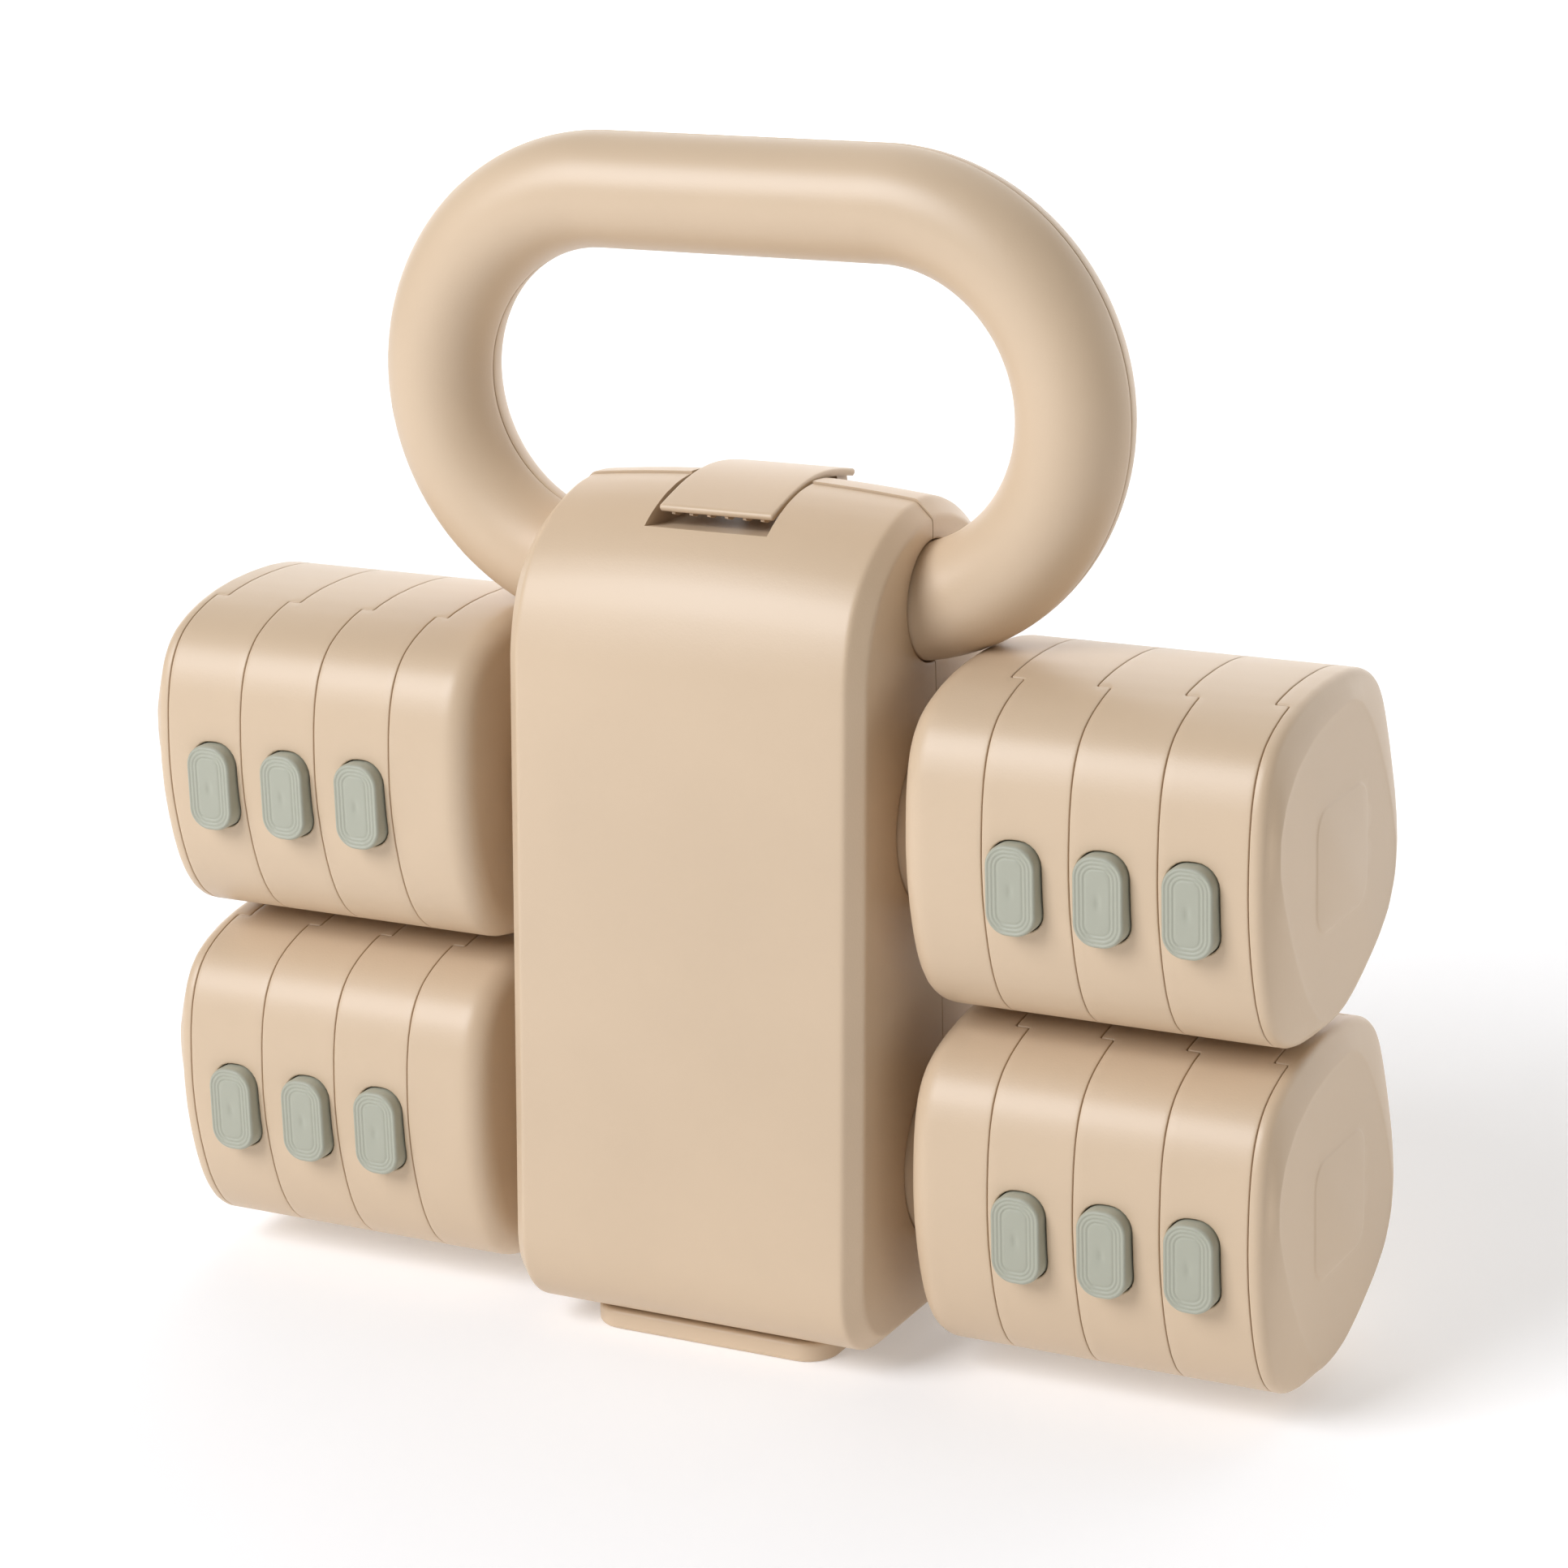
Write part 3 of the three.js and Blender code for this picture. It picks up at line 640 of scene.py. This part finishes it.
def cap_shape():
    """The cap from its seam outwards."""
    shape = Shape()
    band, r = CAP_BAND, CAP_ROUND
    place = wrapped(plate_line)
    inner = end_line(plate_line, 0.0, -KEY_DEPTH, KEY_HALF)
    s = np.linspace(0, plate_line.length, CAP_SIDES + 1)
    outer = np.stack([s, np.full(len(s), band)], 1)
    rings = [(offset_line(inner, d), e, False) for d, e in round_steps(EDGE)]
    rings.append((outer, 0.0, False))
    for line_pts, _, _ in rings[:-1]:
        line_pts[0, 0], line_pts[-1, 0] = 0, plate_line.length
    fat = np.vstack([rings[3][0], outer[::-1]])
    fat[fat[:, 0] < 1e-6, 0] = -0.5
    fat[fat[:, 0] > plate_line.length - 1e-6, 0] = plate_line.length + 0.5
    left, right = plate_line.top_at(-KEY_HALF), plate_line.top_at(KEY_HALF)
    grid = [(g, -1.6) for g in np.linspace(left + 2, right - 2, 24)]
    shape.skin(fat, [], rings, grid, place)
    end_face(shape, plate_line, inner, 0.0, KEY_BOTTOM, EDGE, -1, SPIGOT)
    rim, normal = plate_line.at(s[:-1]), plate_line.normal(s[:-1])
    face = Profile(CAP_FRONT, 2.0, CAP_REAR)
    angle = np.mod(np.arctan2(rim[:, 1] - CAP_CENTRE[1], rim[:, 0] - CAP_CENTRE[0]), 2 * math.pi)
    table = spread(face.points[:-1], 720, CAP_CENTRE)
    t = np.linspace(0, 2 * math.pi, 720, endpoint=False)
    radius = np.hypot(table[:, 0] - CAP_CENTRE[0], table[:, 1] - CAP_CENTRE[1])
    reach = np.interp(angle, t, radius, period=2 * math.pi)
    inside_edge = np.stack([CAP_CENTRE[0] + reach * np.cos(angle), CAP_CENTRE[1] + reach * np.sin(angle)], 1)
    full = CAP_FACE - (FIRST_SEAM + PLATES * PITCH + GAP / 2)
    loops = [np.stack([np.full(CAP_SIDES, band), rim[:, 0], rim[:, 1]], 1)]
    for a in np.radians(np.arange(9, 66, 8)):
        q = rim - normal * r * (1 - math.cos(a))
        loops.append(np.stack([np.full(CAP_SIDES, band + r * math.sin(a)), q[:, 0], q[:, 1]], 1))
    last = loops[-1]
    target = np.stack([np.full(CAP_SIDES, full), inside_edge[:, 0], inside_edge[:, 1]], 1)
    for f in (0.25, 0.5, 0.75, 0.94):
        slope = last + (target - last) * f
        slope[:, 0] += 0.35 * math.sin(math.pi * f)
        loops.append(slope)
    for shrink, drop in ((1.0, 0.04), (0.985, 0.10), (0.96, CAP_SINK)):
        inner_ring = np.array(CAP_CENTRE) + (inside_edge - CAP_CENTRE) * shrink
        loops.append(np.stack([np.full(CAP_SIDES, full - drop), inner_ring[:, 0], inner_ring[:, 1]], 1))
    shape.loft(loops, caps=False)
    pad_outer = rounded_rect(*PAD, 10)
    pad_rings = [(offset_line(pad_outer, d, True), e, True) for d, e in
                 ((0, 0.0), (0.35, -0.06), (0.75, -0.26), (1.2, -0.34))]
    flat_edge = loops[-1][:, 1:]
    grid = [(y, z) for y in np.arange(-46, 47, 3.5) for z in np.arange(-46, 47, 3.5)]
    plateau = pad_rings[-1][0]
    flat = in_plane(full - CAP_SINK)
    shape.skin(flat_edge, [plateau], [(flat_edge, 0.0, True), *pad_rings], grid, flat)
    top = flat(plateau[:, 0], plateau[:, 1], np.full(len(plateau), -0.34))
    shape.add(top, [tuple(range(len(plateau)))])
    return shape


cap = cap_shape()
cap_mesh = {}
for end, side in ENDS.items():
    part = cap if side > 0 else cap.mirrored()
    cap_mesh[side] = part.mesh(f"cap_{end}", 0.004)


def button_shape():
    """A press button: tall rounded sides, and ripples round a flat middle with a small dimple."""
    levels = [
        (0.0, BUTTON_BACK), (0.0, BUTTON_FACE - 1.3), (0.12, BUTTON_FACE - 0.7), (0.42, BUTTON_FACE - 0.25),
        (BUTTON_RIM, BUTTON_FACE - 0.02),
    ]
    for k in range(1, RIPPLES * RIPPLE_STEPS + 1):
        wave = RIPPLE_DEPTH * (1 - math.cos(2 * math.pi * k / RIPPLE_STEPS)) / 2
        levels.append((BUTTON_RIM + RIPPLE_STEP * k, BUTTON_FACE - 0.03 - RIPPLE_DISH * k - wave))
    loops = []
    for inset, y in levels:
        uv = corner_points(BUTTON_W / 2 - inset, BUTTON_H / 2 - inset, max(BUTTON_R - inset, 1.2), 12)
        loops.append(np.stack([uv[:, 0], np.full(len(uv), -y), uv[:, 1]], 1))
    n = len(loops[0])
    shape = Shape().loft(loops, caps=False)
    shape.add(loops[0], [tuple(range(n))])
    # the middle, with its dimple
    face_y = levels[-1][1]
    edge = loops[-1][:, [0, 2]]
    grid = [(u, v) for u in np.arange(-3, 3.1, 0.6) for v in np.arange(-9, 9.1, 0.6)]

    def place(u, v, d):
        dip = DIMPLE * np.exp(-((u / 0.75) ** 2) - (v / 1.9) ** 2)
        return np.stack([u, -(face_y - dip), v], 1)

    shape.skin(edge, [], [(edge, 0.0, True)], grid, place)
    return shape


button_mesh = button_shape().mesh("button", 0.004, 60)

# the rod through each dumbbell and its grip, which bellies out towards the middle
rod_mesh = Shape().lathe_x(rod_outline(BAR_END, BAR_R, 0.8), 0, 0, 64).mesh("rod")
grip_x = np.linspace(1.4 - GRIP_HALF, GRIP_HALF - 1.4, 37)
grip_side = [(x, GRIP_R + GRIP_BELLY * math.cos(math.pi / 2 * x / GRIP_HALF)) for x in grip_x]
grip_end = [(GRIP_HALF - 0.5, GRIP_R - 0.2), (GRIP_HALF, GRIP_R - 0.8), (GRIP_HALF, BAR_R + BORE_SLACK)]
grip_outline = [(-x, r) for x, r in reversed(grip_end)] + grip_side + grip_end
grip_mesh = Shape().lathe_x(grip_outline, 0, 0, 64).mesh("grip")

for bell, axis in AXES.items():
    piece(f"{bell}_rod", rod_mesh, "base", STEEL, [f"{bell}_bar"], (0, 0, axis))
    piece(f"{bell}_grip_sleeve", grip_mesh, "base", GRIP, [f"{bell}_grip"], (0, 0, axis))
    for end, side in ENDS.items():
        tag = f"{bell}_{end}"
        hub = f"{tag}_hub"
        at = (side * HUB_INNER, 0, axis)
        piece(f"{hub}_body", hub_mesh[side], "base", TAN, [hub], at)
        piece(f"{hub}_boss", boss_mesh[side], "base", TAN, [], at)
        piece(f"{hub}_sleeve", sleeve_mesh[side], "base", TAN, [], at)
        for i in range(PLATES):
            name = f"{tag}_plate_{i + 1}"
            body = f"{name}_body"
            key = f"{name}_button"
            x0 = side * (FIRST_SEAM + GAP / 2 + PITCH * i)
            piece(f"{name}_casing", plate_mesh[side], body, TAN, [name], (x0, 0, axis))
            at = (x0 + side * button_x, 0, axis + BUTTON_Z)
            piece(f"{name}_key", button_mesh, f"{key}_body", SAGE, [key], at)
        at = (side * (FIRST_SEAM + GAP / 2 + PITCH * PLATES), 0, axis)
        body = f"{tag}_plate_{PLATES}_body"
        piece(f"{tag}_cap", cap_mesh[side], body, TAN, [f"{tag}_end_cap"], at)


# ---- ring handle ----
def ring_half(side):
    """Half of the hollow ring, split along the middle plane, with softened seam edges."""
    soft = 0.35
    ri = RING_R - RING_WALL
    section = []
    start = math.asin((GAP / 2) / RING_R)
    gap = GAP / 2
    section += [(RING_R - 1.6, gap), (RING_R - soft - 0.05, gap), (RING_R - 0.12, gap + 0.12)]
    angles = np.linspace(start + 0.028, math.pi - start - 0.028, 41)
    section += [(RING_R * math.cos(a), RING_R * math.sin(a)) for a in angles]
    section += [(-RING_R + 0.12, gap + 0.12), (-RING_R + soft + 0.05, gap), (-RING_R + 1.6, gap)]
    inner_start = math.asin(gap / ri)
    inner_angles = np.linspace(math.pi - inner_start, inner_start, 17)
    section += [(ri * math.cos(a), ri * math.sin(a)) for a in inner_angles]
    loops = []
    for half, first in ((1, -math.pi / 2), (-1, math.pi / 2)):
        for a in np.linspace(first, first + math.pi, 73):
            out = np.array([math.cos(a), 0, math.sin(a)])
            at = np.array([half * RING_STRAIGHT, 0, RING_Z]) + out * RING_BEND
            loops.append(np.array([at + out * u + np.array([0, side * v, 0]) for u, v in section]))
    return Shape().loft(loops, closed=True)


piece("ring_front", ring_half(-1).mesh("ring_front"), "base", TAN, ["handle_front_half"])
piece("ring_rear", ring_half(1).mesh("ring_rear"), "base", TAN, ["handle_rear_half"])

# ---- housing ----
housing_line = Profile(HOUSING_FRONT, 2.2)
REAR_STEP = 0.7  # the rear shell's top stands this much higher at the seam
SIDE_INSET = 9.0


def chamfer_path():
    """Half of the cross path over the housing, from its middle to its side, as (length, x, inset)."""
    corner = [(0, 0), (FLAT, 0), (HALF, CHAMFER), (HALF, SIDE_INSET + 10)]
    pts = resample(corner, 0.25)
    smooth = pts.copy()
    for _ in range(12):
        smooth[1:-1] = (smooth[:-2] + 2 * smooth[1:-1] + smooth[2:]) / 4
    run = np.concatenate([[0], np.cumsum(np.linalg.norm(np.diff(smooth, axis=0), axis=1))])
    return run, smooth


path_run, path_pts = chamfer_path()
SIDE_V = float(np.interp(SIDE_INSET, path_pts[:, 1], path_run))


def smoothstep(x, a, b):
    """0 before a, 1 after b, and a soft rise between."""
    t = np.clip((x - a) / (b - a), 0, 1)
    return t * t * (3 - 2 * t)


def housing_points(s, x, inset, proud=0.0):
    """Points on the housing's surface, or under it by inset. proud lifts the top behind the middle."""
    p, n = housing_line.at(s), housing_line.normal(s)
    crown = TOP_CROWN * (1 - np.minimum(np.abs(x) / FLAT, 1) ** 2)
    top = smoothstep(p[:, 1], 190, 245)
    front = smoothstep(p[:, 1], 10, 60) * FRONT_CROWN_SHARE
    y = p[:, 0] * (1 + front * crown * (1 - top) / 55)
    z = p[:, 1] + top * crown
    lift = proud * smoothstep(p[:, 1], 215, 243) * smoothstep(p[:, 0], -3.0, -1.0)
    y = y - n[:, 0] * (inset - lift)
    z = z - n[:, 1] * (inset - lift)
    return np.stack([x + np.zeros(len(y)), y, z], 1)


def housing_solid(proud):
    """The whole outer body, closed, with blind seats for the bosses and the ring in its sides."""
    shape = Shape()
    n_s = 420
    s = np.linspace(0, housing_line.length, n_s, endpoint=False)
    half = np.concatenate([np.linspace(0, FLAT - 5, 12), np.linspace(FLAT - 4, SIDE_V, 28)])
    v = np.concatenate([-half[:0:-1], half])
    loops = []
    for at in v:
        x = np.sign(at) * np.interp(abs(at), path_run, path_pts[:, 0])
        inset = np.interp(abs(at), path_run, path_pts[:, 1])
        if abs(at) >= SIDE_V - 1e-6:
            x = np.sign(at) * HALF
        loops.append(housing_points(s, x, inset, proud))
    shape.loft(loops, caps=False)
    edge = loops[-1][:, 1:]
    tilt = math.tan(math.asin((HALF - RING_STRAIGHT) / RING_BEND))
    rise = RING_BEND - math.sqrt(RING_BEND**2 - (HALF - RING_STRAIGHT) ** 2)
    tube_z = RING_Z - RING_BEND + rise
    tube = circle(0, 0, 1, 72) * (RING_R + 0.4, (RING_R + 0.4) * math.hypot(1, tilt)) + (0, tube_z)
    seats = [(tube, tilt)] + [(circle(0, z, BOSS_R + 0.5, 90), 0.0) for z in AXES.values()]
    grid = [(y, z) for y in np.arange(-56, 57, 5) for z in np.arange(10, 250, 5)]
    for side in (1, -1):

        def place(y, z, d, side=side):
            return np.stack([side * (HALF - d), y, z], 1)

        rings = [(edge, 0.0, True)]
        for loop, _ in seats:
            rings += [(offset_line(loop, -d, True), e, True) for d, e in round_steps(0.7)]
        shape.skin(edge, [loop for loop, _ in seats], rings, grid, place)
        for loop, lean in seats:
            top = place(loop[:, 0], loop[:, 1], np.full(len(loop), 0.7))
            low = place(loop[:, 0], loop[:, 1] - lean * 4.3, np.full(len(loop), 5.0))
            shape.loft([top, low], caps=False)
            shape.add(low, [tuple(range(len(loop)))])
    return shape


def block(x0, x1, y0, y1, z0, z1):
    """A box as a Shape."""
    return prism([(y0, z0), (y1, z0), (y1, z1), (y0, z1)], x0, x1)


def cavity_mesh():
    """The hollow inside the housing: what is left of it round the ribs and the latch's channel."""
    s = np.linspace(0, housing_line.length, 120, endpoint=False)
    inner, flat = HALF - SHELL, FLAT - SHELL + 1
    stations = [-inner, -flat, -flat * 0.6, 0, flat * 0.6, flat, inner]
    loops = [housing_points(s, x, SHELL + (CHAMFER - 1 if abs(x) > flat + 0.1 else 0)) for x in stations]
    hollow = Shape().loft(loops).mesh("hollow")
    channel = prism(RECESS_FLOOR_UNDER, -RECESS_HALF - SHELL, RECESS_HALF + SHELL).mesh("channel")
    ribs = [block(x - RIB_HALF, x + RIB_HALF, -RIB_REACH, RIB_REACH, 0, ABOVE) for x in (-RIB_X, RIB_X)]
    return cut(hollow, [channel, *[rib.mesh("rib") for rib in ribs]])


# the latch's recess, its floor ramping down from the front, and the plastic kept under that floor
RECESS_TOOL = [
    (-31.2, 245.45), (-24, 244.3), (-16, 243.4), (16, 243.4), (22, 240.2), (32.4, 236), (32.4, ABOVE),
    (-31.2, ABOVE),
]
RECESS_FLOOR_UNDER = [
    (-33, 242.5), (-18, 240.4), (14, 240.4), (20, 237.2), (36, 230.8), (36, ABOVE), (-33, ABOVE),
]


def shell_mesh(name, side):
    """One moulded half of the housing."""
    y0, y1 = (-BEYOND, -SEAM_HALF) if side < 0 else (SEAM_HALF, BEYOND)
    keep = block(-BEYOND, BEYOND, y0, y1, BELOW, ABOVE)
    body = cut(housing_solid(0 if side < 0 else REAR_STEP).mesh(name), [keep.mesh("keep")], "INTERSECT")
    tools = [cavity_mesh(), prism(RECESS_TOOL, -RECESS_HALF, RECESS_HALF).mesh("recess")]
    ring_room = bore_outline(-RING_ROOM_HALF, RING_ROOM_HALF, RING_ROOM_R)
    grip_room = bore_outline(-GRIP_ROOM_HALF, GRIP_ROOM_HALF, GRIP_ROOM_R)
    tools.append(Shape().lathe_x(ring_room, 0, RING_Z - RING_BEND, 64).mesh("ring_room"))
    for z in AXES.values():
        tools.append(Shape().lathe_x(grip_room, 0, z, 48).mesh("grip_room"))
    return cut(body, tools)


piece("cover", shell_mesh("cover", -1), "front_cover", TAN, ["front_shell"])
piece("rear_case", shell_mesh("rear_case", 1), "base", TAN, ["rear_shell"])

# ---- latch ----
LATCH_TOP = [
    (-21.9, 250.2), (-18, 251.4), (-12, 253.1), (-4, 254.9), (4, 255.8), (12, 255.7), (20, 254.7),
    (29.6, 252.7),
]


def latch_shape():
    """A curved lid with rounded edges."""
    knots = np.array(LATCH_TOP)
    y = np.linspace(knots[0, 0], knots[-1, 0], 60)
    curve = np.polyfit(knots[:, 0], knots[:, 1], 4)
    top = np.stack([y, np.polyval(curve, y)], 1)
    n = np.stack([-np.gradient(top[:, 1], y), np.ones(len(y))], 1)
    n /= np.linalg.norm(n, axis=1)[:, None]
    r = 0.8
    section = [(-LATCH_HALF, r - LATCH_THICK), (-LATCH_HALF, -r)]
    turn = np.radians((22, 45, 67, 90))
    section += [(-LATCH_HALF + r - r * math.cos(a), -r + r * math.sin(a)) for a in turn]
    section += [(x, 0.0) for x in np.linspace(-LATCH_HALF + 2.5, 0, 6)]
    section += [(-x, d) for x, d in reversed(section[:-1])]
    section += [(LATCH_HALF - 0.4, -LATCH_THICK), (-LATCH_HALF + 0.4, -LATCH_THICK)]
    loops = []

    def ring(centre, normal, squeeze):
        pts = []
        for x, d in section:
            mid = -LATCH_THICK / 2
            d = mid + (d - mid) * squeeze
            x = np.sign(x) * (abs(x) - (1 - squeeze) * 0.9)
            pts.append((x, centre[0] + normal[0] * d, centre[1] + normal[1] * d))
        return np.array(pts)

    lead = (top[0] - top[1]) / np.linalg.norm(top[0] - top[1])
    for step, squeeze in ((1.0, 0.35), (0.85, 0.62), (0.55, 0.85), (0.2, 0.97)):
        loops.append(ring(top[0] + lead * step, n[0], squeeze))
    loops += [ring(p, m, 1.0) for p, m in zip(top, n)]
    tail = (top[-1] - top[-2]) / np.linalg.norm(top[-1] - top[-2])
    for step, squeeze in ((0.25, 0.96), (0.5, 0.85)):
        loops.append(ring(top[-1] + tail * step, n[-1], squeeze))
    return Shape().loft(loops)


LATCH_RIBS = 6
LATCH_RIB = [(-21.3, 247.4, 248.8, 0.55), (-19.0, 246.6, 249.6, 0.6), (-9.0, 248.2, 251.8, 0.6)]


def latch_ribs():
    """The gripping ribs under the lip. LATCH_RIB holds y, lower and upper z, and half the thickness."""
    shape = Shape()
    for x in np.linspace(-14.5, 14.5, LATCH_RIBS):
        loops = []
        for y, z0, z1, w in LATCH_RIB:
            loops.append(np.array([(x - w, y, z0), (x + w, y, z0), (x + w, y, z1), (x - w, y, z1)]))
        shape.loft(loops)
    return shape


def knuckle_mesh(name, x):
    """A knuckle from the lid down to the pin, bored for it."""
    turn = np.radians(np.arange(-200, 21, 20))
    ring = [(HINGE_Y + KNUCKLE_R * math.cos(a), HINGE_Z + KNUCKLE_R * math.sin(a)) for a in turn]
    solid = prism(ring + [(29.4, 251.4), (22.5, 252.9)], x - KNUCKLE_HALF, x + KNUCKLE_HALF)
    reach = KNUCKLE_HALF + 1
    bore = Shape().lathe_x(bore_outline(x - reach, x + reach, PIN_R + PIN_SLACK), HINGE_Y, HINGE_Z, 32)
    return cut(solid.mesh(name), [bore.mesh("bore")])


piece("latch_lid", latch_shape().mesh("latch_lid"), "latch", TAN, ["latch"])
piece("latch_ribs", latch_ribs().mesh("latch_ribs"), "latch", TAN)
pin_mesh = Shape().lathe_x(rod_outline(PIN_HALF, PIN_R, 0.3), HINGE_Y, HINGE_Z, 32).mesh("axle")
piece("latch_axle", pin_mesh, "base", STEEL, ["latch_pin"])
for end, side in (("left", -1), ("right", 1)):
    name = f"latch_knuckle_{end}"
    piece(name, knuckle_mesh(name, side * KNUCKLE_X), "latch", TAN)


# ---- foot ----
# (inset, height) round the pad, from its recessed sole up to its softened top edge
FOOT_LEVELS = [
    (4.0, 0.9), (3.4, 0.9), (3.0, 0.3), (2.4, 0.0), (1.0, 0.0), (0.4, 0.25), (0.05, 0.8), (0, 1.6), (0, 4.7),
    (0.15, 5.4), (0.6, 5.9), (1.2, 6.1), (3, 6.25),
]


def foot_shape():
    """A shallow rounded pad."""
    loops = []
    for inset, z in FOOT_LEVELS:
        uv = corner_points(FOOT_X - inset, FOOT_Y - inset, FOOT_CORNER - inset, 14)
        loops.append(np.column_stack([uv, np.full(len(uv), z)]))
    return Shape().loft(loops)


piece("foot", foot_shape().mesh("foot"), "base", TAN, ["foot_pad"])

# ---- stage, light and camera ----
CAMERA_AZ, CAMERA_EL, CAMERA_ROLL = 27.967, 16.451, -1.731
CAMERA_TARGET, CAMERA_DISTANCE = (7.6, 0.0, 162.6), 1301.556
LENS = 100.97


def aim(az, el):
    """The unit vectors from the target towards the camera, to its right and up."""
    a, e = math.radians(az), math.radians(el)
    back = Vector((math.sin(a) * math.cos(e), -math.cos(a) * math.cos(e), math.sin(e)))
    right = Vector((math.cos(a), math.sin(a), 0))
    return back, right, back.cross(right)


def softbox(name, az, el, distance, size, power, colour=(1, 1, 1)):
    back, right, up = aim(az, el)
    data = bpy.data.lights.new(name, "AREA")
    data.shape = "RECTANGLE"
    data.size, data.size_y = size
    data.energy = power
    data.color = colour
    lamp = bpy.data.objects.new(name, data)
    turn = Matrix((right, up, back)).transposed().to_4x4()
    lamp.matrix_world = Matrix.Translation(Vector((0, 0, 0.15)) + back * distance) @ turn
    bpy.context.scene.collection.objects.link(lamp)
    return lamp


def stage_sheet(name, corners, base, glow):
    """A plain pale sheet of the set, softly lit from within like a backlit sweep."""
    mesh = bpy.data.meshes.new(name)
    mesh.from_pydata(corners, [], [(0, 1, 2, 3)])
    mat = bpy.data.materials.new(name)
    mat.use_nodes = True
    bsdf = mat.node_tree.nodes["Principled BSDF"]
    bsdf.inputs["Base Color"].default_value = (*base, 1)
    bsdf.inputs["Roughness"].default_value = 0.75
    bsdf.inputs["Specular IOR Level"].default_value = 0.1
    bsdf.inputs["Emission Color"].default_value = (1, 1, 1, 1)
    bsdf.inputs["Emission Strength"].default_value = glow
    mesh.materials.append(mat)
    sheet = bpy.data.objects.new(name, mesh)
    bpy.context.scene.collection.objects.link(sheet)


SHEET_X, SHEET_FRONT, SHEET_REAR, SHEET_TOP = 5, -4, 1.9, 2.2  # metres
floor_corners = [
    (-SHEET_X, SHEET_FRONT, 0), (SHEET_X, SHEET_FRONT, 0), (SHEET_X, SHEET_REAR, 0),
    (-SHEET_X, SHEET_REAR, 0),
]
backdrop_corners = [
    (-SHEET_X, SHEET_REAR, 0), (SHEET_X, SHEET_REAR, 0), (SHEET_X, SHEET_REAR, SHEET_TOP),
    (-SHEET_X, SHEET_REAR, SHEET_TOP),
]
stage_sheet("floor", floor_corners, (0.86, 0.86, 0.87), 0.24)
stage_sheet("backdrop", backdrop_corners, (0.86, 0.86, 0.86), 0.95)

world = bpy.data.worlds.new("studio")
bpy.context.scene.world = world
world.use_nodes = True
world.node_tree.nodes["Background"].inputs["Color"].default_value = (1.0, 0.92, 0.82, 1)
world.node_tree.nodes["Background"].inputs["Strength"].default_value = 0.14
softbox("key", -30, 36, 3.0, (1.7, 1.7), 81, (0.98, 1.0, 1.05))
softbox("top", 185, 64, 2.6, (2.4, 2.0), 12)
softbox("fill", 106, 20, 2.4, (1.4, 1.2), 3.6, (1, 0.92, 0.83))
bpy.context.scene.view_settings.view_transform = "Standard"

back, right, up = aim(CAMERA_AZ, CAMERA_EL)
roll = math.radians(CAMERA_ROLL)
cam_right = right * math.cos(roll) + up * math.sin(roll)
cam_up = up * math.cos(roll) - right * math.sin(roll)
camera_data = bpy.data.cameras.new("camera")
camera_data.lens = LENS
camera_data.sensor_width = 36
camera = bpy.data.objects.new("camera", camera_data)
turn = Matrix((cam_right, cam_up, back)).transposed().to_4x4()
camera.matrix_world = Matrix.Translation((Vector(CAMERA_TARGET) + back * CAMERA_DISTANCE) * MM) @ turn
bpy.context.scene.collection.objects.link(camera)
bpy.context.scene.camera = camera

# ---- finish of the CAD nodes that are shown as they are ----
for name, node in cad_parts.items():
    node.data.materials.clear()
    if name.endswith("_core"):
        node.data.materials.append(IRON)
    elif name.endswith("_bar") or name == "latch_pin":
        node.data.materials.append(STEEL)
    elif name.endswith("_grip"):
        node.data.materials.append(GRIP)
    elif name.endswith("_button"):
        node.data.materials.append(SAGE)
    else:
        node.data.materials.append(TAN)
